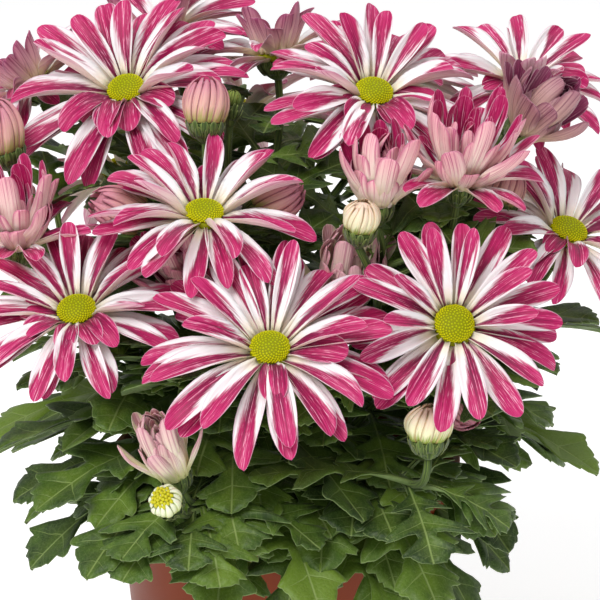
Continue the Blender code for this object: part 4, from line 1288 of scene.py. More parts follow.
    def add_disc(self, patch: Patchwork) -> None:
        """Add the disc: a low dome with one knob for each floret, at golden-angle steps.

        A point of the dome at angle a from its top is (R sin a, rise cos a). Each knob is a small turned profile
        that stands on it, smaller toward the middle.

        Args:
            patch: what the disc is added to.
        """
        slope = np.linspace(0, pi / 2, 12)
        dome = np.stack((0.95 * DISC_RADIUS * np.sin(slope), RING_TOP + 0.9 * DISC_RISE * np.cos(slope)), -1)
        add_turned(patch, self.head, np.concatenate((dome, ((0.0, RING_TOP),))), 32)
        number = np.arange(self.disc_florets) + 0.5
        share = np.sqrt(number / self.disc_florets)
        lean = share * radians(86)
        around = number * GOLDEN_ANGLE
        outward = stacked(np.cos(around), np.sin(around), 0.0)
        across = np.cross(UP, outward)
        normal = outward * np.sin(lean)[:, None] + UP * np.cos(lean)[:, None]
        along = np.cross(normal, across)
        foot = outward * (0.93 * DISC_RADIUS * np.sin(lean))[:, None]
        foot += UP * (RING_TOP + 0.9 * DISC_RISE * np.cos(lean) - 0.15 * MM)[:, None]
        size = DISC_RADIUS / sqrt(self.disc_florets) * (0.9 + 0.14 * share)
        turn = spokes(5)
        ring = across[:, None, :] * turn[:, :1] + along[:, None, :] * turn[:, 1:2]
        for k in range(self.disc_florets):
            points = foot[k] + size[k] * (
                DISC_KNOB[:, 0, None, None] * ring[k][None] + DISC_KNOB[:, 1, None, None] * normal[k]
            )
            place = stacked(0.0, (DISC_KNOB[:, 1] / DISC_KNOB[-1, 1])[:, None], wobble(k, self.index))
            patch.add(self.head.to_world(points), True, place=place, surface=(0.0, share[k], 0.0))


def outline_shape(head: Head, floret: Floret) -> tuple[Array, Faces]:
    """A coarse strip of the floret, to test what it would touch.

    Args:
        head: the head it stands on.
        floret: the floret.

    Returns:
        The strip's points and its faces.
    """
    s = np.array((0.12, 0.4, 0.7, 1.0))
    middle, side, _ = floret.rib(s)
    half = side * (floret.width / 2 * np.array((0.5, 0.85, 1.0, 0.5)))[:, None]
    points = head.to_world(np.concatenate((middle - half, middle + half)))
    return points, [(i, i + 1, i + 5, i + 4) for i in range(3)]


def add_turned(
    patch: Patchwork, head: Head, profile: Array, segments: int, along: Array | float = 0.0, kind: float = 0.0
) -> None:
    """Add a profile of (radius, height) turned about the head's axis: (r cos a, r sin a, h).

    Args:
        patch: what the surface is added to.
        head: the head whose axis it turns about.
        profile: n x 2.
        segments: how many points go round.
        along: the mark along the floret that each point of the profile gets, or one number for all.
        kind: the third part of the surface mark.
    """
    angle = 2 * pi * np.arange(segments)[None, :] / segments
    along = np.broadcast_to(along, len(profile))[:, None]
    place = stacked(np.zeros_like(angle), along, 0.0)
    flat = stacked(angle * 3 * MM, profile[:, 1, None])
    patch.add(head.to_world(turned(profile, segments)), True, flat, place, (0.0, 0.0, kind))


@dataclass(frozen=True)
class HalfOpenHead:
    """A head about to open: two outer rounds of standing florets, and shorter ones closing over its middle."""

    head: Head
    index: int

    def florets(self) -> Iterator[Floret]:
        """All of the head's florets.

        Yields:
            Those of the solid, further rounds that close over the middle, and a collar of broad ones behind.
        """
        head = self.head
        broad = 1.0 if head.outer < NARROW_FROM else 0.72
        young = {"shoulder": YOUNG_SHOULDER, "fold": 0.5, "root": 0.46}
        for floret in place_florets(head, self.index, Solid(head.name)):
            yield replace(floret, width=floret.width * 1.4 * broad, pointed=2.6, hook=0.15, **young)
        front = head.front
        for number, (count, radius, share, width, pitch, bend) in self.rounds().items():
            for k in range(count):
                tone, size, loose = (wobble(self.index, k, key + 3 * number) for key in (21, 22, 23))
                angle = 2 * pi * (k + 0.3 * loose) / count + number
                shorter = 0.2 * (front[0] * cos(angle) + front[1] * sin(angle))
                yield Floret(
                    angle=angle,
                    radius=radius * MM,
                    height=(RING_LOW + 0.4 * MM) if number < 2 else RING_TOP - 0.5 * MM,
                    length=head.reach * MM * share * (1 + 0.1 * size - shorter),
                    width=width * broad * MM,
                    pitch=radians(pitch + 4 * loose),
                    bend=radians(bend + 7 * size),
                    tone=tone,
                    pointed=2.5 + 0.3 * size,
                    hook=0.15 + 0.05 * size if number > 0 else -0.04,
                    roll=radians(16 * loose),
                    **young,
                )
        for k in range(head.collar):
            tone, size = wobble(self.index, k, 41), wobble(self.index, k, 42)
            yield Floret(
                angle=pi + radians(36) * (k - (head.collar - 1) / 2) + 0.1 * tone,
                radius=5.2 * MM,
                height=RING_LOW,
                length=head.reach * MM * (0.98 + 0.08 * size),
                width=10.5 * MM,
                pitch=radians(33 + 5 * tone),
                bend=radians(30 + 8 * size),
                tone=tone,
                fold=0.4,
                pointed=2.6,
                shoulder=YOUNG_SHOULDER,
                root=0.5,
            )

    def rounds(self) -> dict[int, tuple[float, ...]]:
        """The further rounds, from the outside in.

        Returns:
            By number: how many florets, radius, share of the reach, width, pitch and bend. A head that has opened
            far has a spread round, number 0.
        """
        head = self.head
        if head.tint is BudTint.CREAM:
            return {
                1: (13, 5.0, 0.84, 5.6, head.outer + 5, 20),
                2: (13, 4.4, 0.86, 5.2, head.outer + 11, 14),
                3: (11, 3.4, 0.8, 4.4, head.outer + 15, 10),
                4: (9, 2.2, 0.7, 3.6, 84, 8),
            }
        spread = {0: (9, 5.0, 0.9, 7.6, head.outer - 25, -16 + head.curl)} if head.outer <= SPREAD_UP_TO else {}
        return spread | {
            1: (9, 5.1, 0.56, 7.4, head.outer - 4, 14 + head.curl),
            2: (10, 4.2, 0.9, 6.0, head.outer + 12, 6 + head.curl),
            3: (9, 3.2, 0.74, 4.6, head.inner + 6, 12 + head.curl / 2),
            4: (8, 2.2, 0.62, 3.6, 84, 14),
            5: (6, 1.0, 0.52, 2.6, 87, 8),
        }

    def dress(self, material: Material) -> None:
        """Build the florets on their receptacle.

        Args:
            material: their finish.
        """
        patch = Patchwork()
        for floret in self.florets():
            floret.add_to(patch, self.head, 12, 7)
        profile = np.array(((0, -2), (4.6, -2), (4.9, -1.0), (4.9, 0.6), (3.0, 2.4), (0, 3.4))) * MM
        add_turned(patch, self.head, profile, 24, along=0.05, kind=-3.0)
        patch.piece(self.head.name + "_florets", material, [self.head.name], "pink_florets")


@dataclass(frozen=True)
class Bud:
    """A closed bud of folded florets that lean in to its tip."""

    head: Head
    index: int
    folded: int = 15
    knobs: int = 34

    def dress(self, material: Material) -> None:
        """Build a core and the folded florets on it.

        At height h of the bud its radius is R (0.8 + 0.9h - 1.05h²) and closes as the root of 1 less a high power
        of h. A floret is the part of that surface within a narrowing angle of its middle, raised by 1 - v² so
        that each one shows as a ridge, with a slight twist round the bud.

        Args:
            material: the finish of the bud.
        """
        head, patch = self.head, Patchwork()
        radius, height = head.outer * MM, head.reach * MM
        blunt = 12 if head.tint is BudTint.PINK else 6

        def girth(h: Array) -> Array:
            """The bud's radius at the share h of its height."""
            return radius * (0.8 + 0.9 * h - 1.05 * h**2) * np.sqrt(np.clip(1 - h**blunt, 0, 1))

        levels = np.linspace(0, 1, 12)
        core = np.stack((0.9 * girth(levels), 0.88 * height * levels), -1)
        core = np.concatenate((((0.0, 0.0),), core))
        add_turned(patch, head, core, 24, np.concatenate(((0.0,), levels)))
        if head.opened:
            self.add_middle(patch)
        h = np.linspace(0, 1, 11)
        v = np.linspace(-1, 1, 5)
        for k in range(self.folded):
            tone, size = wobble(self.index, k, 31), wobble(self.index, k, 32)
            reach = (0.8 if head.opened else 0.9) + 0.1 * size
            level = h * reach
            spread = pi / self.folded * 1.4 * (1 - 0.6 * h**4)
            around = 2 * pi * k / self.folded + 0.35 * h[:, None] + spread[:, None] * v
            ridge = 0.11 * (1 - v**2)[None, :] * np.sin(pi * (0.15 + 0.8 * h))[:, None]
            lift = radius * (0.02 + 0.08 * (k % 2) + ridge)
            r = girth(level)[:, None] * (1 - 0.1 * h[:, None] ** 4) + lift
            z = (height * level)[:, None]
            upper = stacked(r * np.cos(around), r * np.sin(around), z)
            inner = r - 0.35 * MM
            lower = stacked(inner * np.cos(around), inner * np.sin(around), z)
            place = stacked(v[None, :], h[:, None], tone)
            flat = stacked(v[None, :] * 1.6 * MM, h[:, None] * height)
            patch.add_blade(head.to_world(upper), head.to_world(lower), flat, place)
        patch.piece(head.name + "_florets", material, [head.name], "bud_florets")

    def add_middle(self, patch: Patchwork) -> None:
        """Add the yellow disc that an opening bud shows: knobs of (radius, height) at golden-angle steps.

        Args:
            patch: what the disc is added to.
        """
        top, radius = self.head.reach * MM * 0.96, 0.74 * self.head.outer * MM
        knob = np.array(((1.0, -0.6), (1.0, 0.3), (0.6, 0.6), (0.0, 0.7)))
        knob *= (0.19 * radius, MM)
        for k in range(self.knobs):
            out, around = radius * sqrt((k + 0.5) / self.knobs), k * GOLDEN_ANGLE
            foot = np.array((out * cos(around), out * sin(around), top - 0.35 * out))
            patch.add(self.head.to_world(foot + turned(knob, 5)), True, surface=(0.0, 1.0, 0.0))


@dataclass(frozen=True)
class Leaf:
    """A leaf on an arched rib, with slanted lobes and teeth, as its solid has it but smooth."""

    foot: Array
    chord: Array
    width: float
    droop: float
    roll: float
    key: int
    edge: tuple[tuple[float, float], ...] = LEAF_EDGE
    fine: bool = True
    columns: int = 4
    youth: float = 0.0

    def frame(self, s: Array) -> tuple[Array, Array, Array, Array]:
        """The rib: an arc that starts half the droop above the chord's slope and ends half below.

        Args:
            s: places along the rib, from 0 to 1.

        Returns:
            The rib's points, and the directions along it, across it and out of its upper face.
        """
        flat = sqrt(self.chord[0] ** 2 + self.chord[1] ** 2)
        out = np.array((self.chord[0] / flat, self.chord[1] / flat, 0))
        start = atan2(self.chord[2], flat) + self.droop / 2
        length = self.length
        slope = start - self.droop * s
        point = self.foot + length / self.droop * (
            np.outer(sin(start) - np.sin(slope), out) + np.outer(np.cos(slope) - cos(start), UP)
        )
        normal = np.outer(np.cos(slope), UP) - np.outer(np.sin(slope), out)
        across = np.cross(UP, out)
        side = cos(self.roll) * across + sin(self.roll) * normal
        face = cos(self.roll) * normal - sin(self.roll) * across
        return point, np.outer(np.cos(slope), out) + np.outer(np.sin(slope), UP), side, face

    @property
    def length(self) -> float:
        """The length of the arc over the chord."""
        return float(np.linalg.norm(self.chord)) * self.droop / 2 / sin(self.droop / 2)

    def solid_points(self) -> Array:
        """Corners of the solid leaf: its tip and its widest lobes, on both faces.

        Returns:
            n x 3.
        """
        places = [(1.0, 0.0, 1), *((s, part, side) for s, part in self.edge if part == 0.5 for side in (-1, 1))]
        found = []
        for s, part, side in places:
            point, along, across, face = (value[0] for value in self.frame(np.array([s])))
            out = part * self.width
            ripple = 0.05 * wobble(self.key, s, side) * out
            edge = point + across * side * out + along * LEAF_SLANT * out + face * (LEAF_FOLD * out + ripple)
            found += [edge + face * SOLID_LEAF_DEPTH / 2, edge - face * SOLID_LEAF_DEPTH / 2]
        return np.array(found)

    def margin(self) -> tuple[Array, Array, Array]:
        """The leaf's outline with its teeth.

        Returns:
            Places along the rib, and how far out each side stands there for the width: the margin's points, each
            moved a little by a wobble of its own, and on a fine leaf points between them that bulge outward.
        """
        s, part = np.array(LEAF_MARGIN if self.edge is LEAF_EDGE else SMALL_LEAF_MARGIN).T
        sides = []
        for side in (-1, 1):
            moved = part * (1 + 0.1 * np.array([wobble(self.key, side, n) for n in range(len(part))]))
            if self.fine:
                between = (moved[1:] + moved[:-1]) / 2 + 0.12 * np.abs(np.diff(moved))
                moved = np.insert(moved, range(1, len(moved)), between)
            sides.append(moved)
        if self.fine:
            s = np.insert(s, range(1, len(s)), (s[1:] + s[:-1]) / 2)
        return s, *sides

    def add_to(self, patch: Patchwork) -> None:
        """Add the leaf as one closed blade, from edge to edge through the rib.

        Row s leaves the rib there and runs along a side vein, out by the margin and forward by the slant. The face
        folds up from the rib, sinks along the veins as a bell curve of the distance from them, swells between them
        as a sine, and its outer part curls down. The petiole is thick and narrow.

        Args:
            patch: what the leaf is added to.
        """
        s, left, right = self.margin()
        half = np.linspace(0, 1, self.columns + 1)
        v = np.concatenate((-half[:0:-1], half))
        point, along, across, face = (part[:, None] for part in self.frame(s))
        far = np.abs(v)
        out = np.where(v[None, :] < 0, left[:, None], right[:, None]) * self.width * far[None, :]
        knots = np.array(self.edge)[:, 0]
        ripples = [np.interp(s, knots, [wobble(self.key, knot, side) for knot in knots]) for side in (-1, 1)]
        ripple = 0.05 * np.where(v[None, :] < 0, ripples[0][:, None], ripples[1][:, None]) * out
        veins = [knot for knot, part in self.edge if part >= 0.29]
        on_vein = sum(np.exp(-(((s - knot) / 0.015) ** 2)) for knot in veins)[:, None] * (1 - 0.5 * far)
        rib = np.exp(-((far / 0.12) ** 2))[None, :] * np.ones_like(s)[:, None]
        swell = 0.015 * self.width * np.sin(pi * far)[None, :] * np.cos(2 * pi * 4.3 * (s - 0.48))[:, None]
        blade = smooth_step(s, 0.2, 0.36)[:, None]
        sunk = -0.4 * MM * np.maximum(on_vein, rib) * blade
        curl = -0.22 * out * smooth_step(far, 0.45, 1.0)[None, :] * (1 + 0.9 * wobble(self.key, 12))
        height = LEAF_FOLD * out + ripple + (swell + curl) * blade + sunk
        depth = (2.0 - 1.55 * smooth_step(s, 0.05, 0.3)[:, None] - 0.2 * far[None, :] * blade) * MM
        middle = point + across * (np.sign(v)[None, :] * out)[..., None] + along * (LEAF_SLANT * out)[..., None]
        upper = middle + face * (height + depth / 2)[..., None]
        lower = middle + face * (height - depth / 2 - 0.4 * MM * rib * blade)[..., None]
        place = stacked(v[None, :], s[:, None], wobble(self.key, 14))
        flat = stacked(np.sign(v)[None, :] * out, s[:, None] * self.length + LEAF_SLANT * out)
        patch.add_blade(upper, lower, flat, place, np.maximum(on_vein, rib * blade), kind=self.youth)

    def test_shape(self) -> tuple[Array, Faces]:
        """A coarse fan of the blade, to test what it would touch.

        Returns:
            The fan's points and its faces.
        """
        s = np.array((0.3, 0.6, 0.8, 1.0))
        point, along, across, face = self.frame(s)
        out = np.array((0.2, 0.42, 0.3, 0.02)) * self.width
        rims = [
            point + (across * side + along * LEAF_SLANT + face * LEAF_FOLD) * out[:, None] for side in (-1, 1)
        ]
        quads = [(i, i + 1, 4 * k + i + 1, 4 * k + i) for k in (1, 2) for i in range(3)]
        return np.concatenate((point, *rims)), quads


def soil_height(radius: Array | float) -> Array | float:
    """The soil's surface at a distance from the pot's middle."""
    return SOIL_EDGE_HEIGHT + SOIL_CROWN * (1 - radius / BODY_TOP_RADIUS)


def main_stem_point(plant: int, height: float) -> Array:
    """The middle of a main stem: upright in the soil, then leaning outward more and more.

    Args:
        plant: the number of its cutting, from 1.
        height: a height above the floor.

    Returns:
        The point at that height.
    """
    angle = radians(PLANT_ANGLES[plant - 1])
    start = soil_height(PLANT_CIRCLE) + 2 * MM
    rise = max(0.0, height - start) / (MAIN_TOP - start)
    lean = PLANT_CIRCLE * (1 + MAIN_LEAN * rise**1.5)
    return np.array((lean * cos(angle), lean * sin(angle), height))


@dataclass(frozen=True)
class Branch:
    """A head's branch: up and out from its main stem in one curve, then straight into the green cup."""

    head: Head
    lift: float = 0.4
    sway: float = 0.0

    @property
    def drop(self) -> float:
        """How far below its seat the head's cup ends."""
        return SOLID_GAP - (0 if self.head in BUDS else RING_LOW)

    @property
    def cup_radius(self) -> float:
        """The radius of the cup's top."""
        if self.head in BLOOMS:
            return 0.9 * RING_RADIUS
        return 0.9 * (HALF_OPEN_RADIUS if self.head in HALF_OPEN else self.head.outer * MM)

    def points(self, t: Array) -> Array:
        """The middle of the branch: the cubic curve with the weights (1-t)³, 3(1-t)²t, 3(1-t)t² and t³.

        Args:
            t: places along it, from 0 at the fork to 1 at the cup's foot.

        Returns:
            n x 3.
        """
        family = sorted((other for other in HEADS if other.plant == self.head.plant), key=lambda h: h.seat[2])
        fork = FORK_LOW + (FORK_HIGH - FORK_LOW) * family.index(self.head) / (len(family) - 1)
        axis = direction(self.head.tilt, self.head.toward)
        start = main_stem_point(self.head.plant, fork)
        end = self.head.origin - axis * (self.drop + CUP_LENGTH)
        length = float(np.linalg.norm(end - start))
        outward = (end - start) * (1, 1, 0)
        reach = float(np.linalg.norm(outward)) + MM
        sideways = np.array((-outward[1], outward[0], 0)) / reach * self.sway
        first = start + (UP + BRANCH_SPREAD * outward / reach) * self.lift * length + sideways
        second = end - axis * 0.35 * length + sideways
        s = 1 - t
        return (
            np.outer(s**3, start)
            + np.outer(3 * s * s * t, first)
            + np.outer(3 * s * t * t, second)
            + np.outer(t**3, end)
        )

    def fitted(self, solid: Solid) -> Branch:
        """The branch in the way that the solid takes.

        Args:
            solid: the solid of its cutting.

        Returns:
            The branch whose two inner points have the solid's corners a radius off.
        """

        def misfit(way: tuple[float, float]) -> float:
            """How far the branch misses the solid's in one of its ways."""
            middle, later = replace(self, lift=way[0], sway=way[1] * MM).points(np.array((0.33, 0.68)))
            return solid.misses([middle], 0.95 * BRANCH_RADIUS) + solid.misses([later], 0.85 * BRANCH_RADIUS)

        lift, sway = min(BRANCH_WAYS, key=misfit)
        return replace(self, lift=lift, sway=sway * MM)


def add_tube(patch: Patchwork, path: Array, radii: Array, tone: float, ribs: float = 0.06) -> None:
    """Add a stem, closed at both ends: circles about the path, with five low ribs r (1 + ribs cos 5a).

    Args:
        patch: what the tube is added to.
        path: n x 3.
        radii: n.
        tone: the stem's own tone.
        ribs: how far the ribs stand out for the radius.
    """
    path = np.concatenate((path[:1], path, path[-1:]))
    radii = np.concatenate(((0.0,), radii, (0.0,)))
    tangent = unit(np.gradient(path[1:-1], axis=0))
    tangent = np.concatenate((tangent[:1], tangent, tangent[-1:]))
    run = path[-1] - path[0]
    level = unit(np.array((-run[1], run[0], 0.02)))
    side = unit(level - tangent * (tangent @ level)[:, None])
    across = np.cross(tangent, side)
    angle = 2 * pi * np.arange(15) / 15
    round_ = 1 + ribs * np.cos(5 * angle)
    rays = side[:, None] * (np.cos(angle) * round_)[:, None] + across[:, None] * (np.sin(angle) * round_)[:, None]
    points = path[:, None] + radii[:, None, None] * rays
    run_length = np.concatenate(((0.0,), np.cumsum(np.linalg.norm(np.diff(path, axis=0), axis=1))))
    flat = stacked(angle[None, :] * 2 * MM, run_length[:, None])
    patch.add(points, True, flat, (0.0, 0.3, tone))


@dataclass(frozen=True)
class Tier:
    """A sort of leaves on the branches: places as (share of the branch, degrees aside), then the ways to try."""

    places: tuple[tuple[float, float], ...]
    sizes: tuple[float, ...]
    turns: tuple[float, ...]
    tilts: tuple[float, ...]
    width: float
    droop: float
    roll: float
    key: int
    columns: int
    spread: float
    below: float = -inf
    sway: float = 0.0
    growth: float = 0.0
    youth: float = 0.0


CANOPY = Tier(
    places=((0.18, 0), (0.34, 120), (0.48, -110), (0.6, 40), (0.72, -60), (0.85, 160)),
    sizes=(50, 40, 30, 20),
    turns=(0, 40, -40, 80, -80, 130),
    tilts=(60, 40, 85, 105),
    width=0.56,
    droop=34,
    roll=14,
    key=400,
    columns=2,
    spread=98,
    below=7,
    sway=40,
    growth=0.12,
    youth=0.7,
)
# The leaves that hang outside the forks of the lowest heads
VEIL = Tier(
    places=((0.3, -38), (0.5, 34), (0.62, -16), (0.76, 18)),
    sizes=(44, 38, 32, 26),
    turns=(0, 14, -14, 28, -28),
    tilts=(104, 96, 112, 88),
    width=0.74,
    droop=40,
    roll=12,
    key=700,
    columns=3,
    spread=112,
)


@dataclass(frozen=True)
class Cutting:
    """One rooted cutting: its main stem, a branch and a cup of bracts for each head, and its leaves."""

    plant: int

    def branches(self, solid: Solid) -> list[Branch]:
        """Its heads' branches, each in the way the solid takes."""
        return [Branch(head).fitted(solid) for head in HEADS if head.plant == self.plant]

    def add_main_stem(self, patch: Patchwork) -> None:
        """Add the main stem, from its hole in the soil to its top.

        Args:
            patch: what it is added to.
        """
        heights = np.linspace(soil_height(PLANT_CIRCLE) - STEM_DEPTH, MAIN_TOP, 22)
        path = np.array([main_stem_point(self.plant, height) for height in heights])
        radii = MAIN_RADIUS * np.interp(heights, (0.1, 0.115, 0.133, MAIN_TOP), (1, 0.95, 0.85, 0.7))
        add_tube(patch, path, radii, wobble(self.plant, 41))

    def add_cup(self, patch: Patchwork, branch: Branch, index: int) -> None:
        """Add a head's cup, a turned profile that swells as a sine, with two rounds of pointed bracts on it.

        Args:
            patch: what it is added to.
            branch: the branch that carries the head.
            index: the head's number among all heads.
        """
        head, top, drop = branch.head, branch.cup_radius, branch.drop

        def outline(t: Array | float) -> Array:
            """(radius, height) at the share t of the cup's length."""
            girth = NECK_RADIUS + (top - NECK_RADIUS) * np.sin(pi / 2 * t) ** 0.75
            return np.stack((girth, -drop - CUP_LENGTH * (1 - t) ** 1.15), -1)

        outer = outline(np.linspace(0, 1, 9))
        profile = np.concatenate((((0.0, outer[0, 1]),), outer, ((0.0, outer[-1, 1]),)))
        add_turned(patch, head, profile, 20, along=0.3)
        for number, (count, start, share) in enumerate(((9, 0.3, 0.62), (11, 0.5, 0.66))):
            radius, height = outline(start)
            for k in range(count):
                tone = wobble(index, k, 51 + number)
                bract = Floret(
                    angle=2 * pi * (k + 0.5 * number + 0.2 * tone) / count,
                    radius=radius,
                    height=height,
                    length=CUP_LENGTH * share * (1 + 0.1 * tone),
                    width=0.34 * top + 0.5 * MM,
                    pitch=radians(46 + 10 * number),
                    bend=radians(32),
                    tone=tone,
                    fold=-0.45,
                    pointed=1.2,
                    depth=0.35 * MM,
                    root=0.7,
                    fuller=1.0,
                )
                bract.add_to(patch, head, 6, 3)

    def solid_leaves(self, solid: Solid, branches: dict[str, Branch]) -> Iterator[Leaf]:
        """The leaves of the solid.

        Args:
            solid: the solid of the cutting.
            branches: its branches, by the names of their heads.

        Yields:
            Each leaf in the one of its small bends that brings its corners to the solid's.
        """
        for key, leaf in enumerate(leaf_table(branches)):
            if leaf[0] != self.plant:
                continue
            _, foot, chord, width, droop, roll, edge = leaf
            best, least = None, 4 * MM
            for turn, raised, more, part in LEAF_BENDS:
                bent = Leaf(
                    foot=foot,
                    chord=turn_about_up(chord, radians(turn)) * part + UP * raised * MM,
                    width=width * sqrt(part),
                    droop=radians(droop + more),
                    roll=radians(roll),
                    key=key,
                    edge=edge,
                    youth=0.75 if key in YOUNG_LEAVES else max(0.0, 0.8 * wobble(key, 72) - 0.25),
                )
                missed = solid.misses(bent.solid_points())
                if missed < least:
                    best, least = bent, missed
                if missed < 6 * MEETS:
                    break
            if best is not None:
                yield best

    def dress(self, stem: Material, foliage: Material) -> None:
        """Build the stems with their cups, and the leaves.

        Args:
            stem: the finish of the stems and cups.
            foliage: the finish of the leaves.
        """
        solid = Solid(f"plant_{self.plant}")
        name = f"cutting_{self.plant}"
        patch = Patchwork()
        self.add_main_stem(patch)
        branches = self.branches(solid)
        t = np.linspace(0, 1, 20)
        for branch in branches:
            radii = np.interp(t, (0, 0.33, 0.68, 1), (1, 0.95, 0.85, NECK_RADIUS / BRANCH_RADIUS)) * BRANCH_RADIUS
            add_tube(patch, branch.points(t), radii, wobble(HEADS.index(branch.head), 42))
            self.add_cup(patch, branch, HEADS.index(branch.head))
        patch.piece(name + "_stems", stem, [solid.name], "leaf_green")
        patch = Patchwork()
        leaves = list(self.solid_leaves(solid, {branch.head.name: branch for branch in branches}))
        LOG.info("%s: %d leaves of the solid found", name, len(leaves))
        leaves += self.skirt_leaves()
        leaves += self.branch_leaves(CANOPY, branches)
        leaves += self.branch_leaves(VEIL, [branch for branch in branches if branch.head.seat[2] <= VEILED])
        for leaf in leaves:
            leaf.add_to(patch)
        patch.piece(name + "_leaves", foliage, [solid.name], "leaf_green")

    def skirt_leaves(self) -> Iterator[Leaf]:
        """A second leaf beside and below each low one of the table, on both sides of those at the front.

        Yields:
            Each leaf in the first of its ways that keeps clear of the heads.
        """
        for row, (plant, height, x, y, z, width, droop, roll) in enumerate(LEAVES):
            if plant != self.plant:
                continue
            foot = main_stem_point(plant, max(100, height - 5) * MM)
            for side in (1, -1) if y < -60 else (1 if row % 2 else -1,):
                ways = []
                for turn, low, part in product((21, 28, 14, 35), (12, 20, 6, 28), (0.9, 0.76)):
                    tip = turn_about_up(np.array((x, y, z)) * MM, radians(side * turn)) * (part, part, 1)
                    tip[2] = max(tip[2] - low * MM, 66 * MM)
                    ways.append(tip - foot)
                pattern = Leaf(
                    foot=foot,
                    chord=ways[0],
                    width=0.95 * width * MM,
                    droop=radians(droop + 8),
                    roll=radians(roll + 16 * wobble(row, side, 71)),
                    key=300 + 2 * row + side,
                    fine=False,
                    columns=3,
                    youth=max(0.0, wobble(row, side, 72) - 0.3),
                )
                yield from first_clear(replace(pattern, chord=chord) for chord in ways)

    def branch_leaves(self, tier: Tier, branches: Sequence[Branch]) -> Iterator[Leaf]:
        """One sort of leaves up the branches, where the solids leave them out.

        Args:
            tier: the sort.
            branches: the branches that have it.

        Yields:
            The leaves, each in the first of its tier's ways that keeps clear of the heads.
        """
        for branch, (number, (t, aside)) in product(branches, enumerate(tier.places)):
            index = HEADS.index(branch.head)
            growth, sway, lean, youth = (wobble(index, number, key) for key in (61, 62, 63, 64))
            foot = branch.points(np.array((t,)))[0]
            around = degrees(atan2(foot[1], foot[0])) + aside + tier.sway * sway
            # The uppermost place of a branch takes the smaller sizes alone
            sizes = [size for size in tier.sizes if number < 5 or size <= 30]
            leaves = (
                Leaf(
                    foot=foot,
                    chord=direction(tilt, around + turn) * size * (1 + tier.growth * growth) * MM,
                    width=tier.width * size * (1 + tier.growth * growth) * MM,
                    droop=radians(tier.droop),
                    roll=radians(tier.roll * lean),
                    key=tier.key + 6 * index + number,
                    edge=LEAF_EDGE if size > 20 else SMALL_LEAF_EDGE,
                    fine=False,
                    columns=tier.columns,
                    youth=max(0.0, tier.youth * youth - 0.3),
                )
                for size, turn, tilt in product(sizes, tier.turns, tier.tilts)
            )
            yield from first_clear(leaves, tier.spread * MM, branch.head.origin[2] - tier.below * MM)


def first_clear(leaves: Iterable[Leaf], spread: float = inf, ceiling: float = inf) -> Iterator[Leaf]:
    """The first of the leaves that cuts no head and keeps within a radius and a height.

    Args:
        leaves: the leaves to try, the best first.
        spread: the radius about the pot's axis.
        ceiling: the height.

    Yields:
        That leaf, if there is one.
    """
    for leaf in leaves:
        points, faces = leaf.test_shape()
        if np.linalg.norm(points[:, :2], axis=1).max() >= spread or points[:, 2].max() >= ceiling:
            continue
        if is_clear(points, faces, HEAD_SOLIDS):
            yield leaf
            return


def leaf_table(branches: dict[str, Branch]) -> Iterator[tuple]:
    """The leaves of the table, then small ones half way up the branches of every other bloom.

    Args:
        branches: the branches of one cutting, by the names of their heads.

    Yields:
        Each leaf's plant, foot, chord, width, droop, roll and outline, or plant 0 for one that isn't on these.
    """
    for plant, height, x, y, z, width, droop, roll in LEAVES:
        foot = main_stem_point(plant, height * MM)
        yield plant, foot, np.array((x, y, z)) * MM - foot, width * MM, droop, roll, LEAF_EDGE
    for index, head in enumerate(BLOOMS[::2]):
        if head.name not in branches:
            yield (0,)
            continue
        low, high = branches[head.name].points(np.array((0.33, 0.68)))
        around = atan2(high[1], high[0]) + 1.2 * wobble(index, 7)
        chord = direction(80, degrees(around)) * SMALL_LEAF_LENGTH
        roll = 20 * wobble(index, 8)
        yield head.plant, (low + high) / 2, chord, SMALL_LEAF_WIDTH, 35, roll, SMALL_LEAF_EDGE


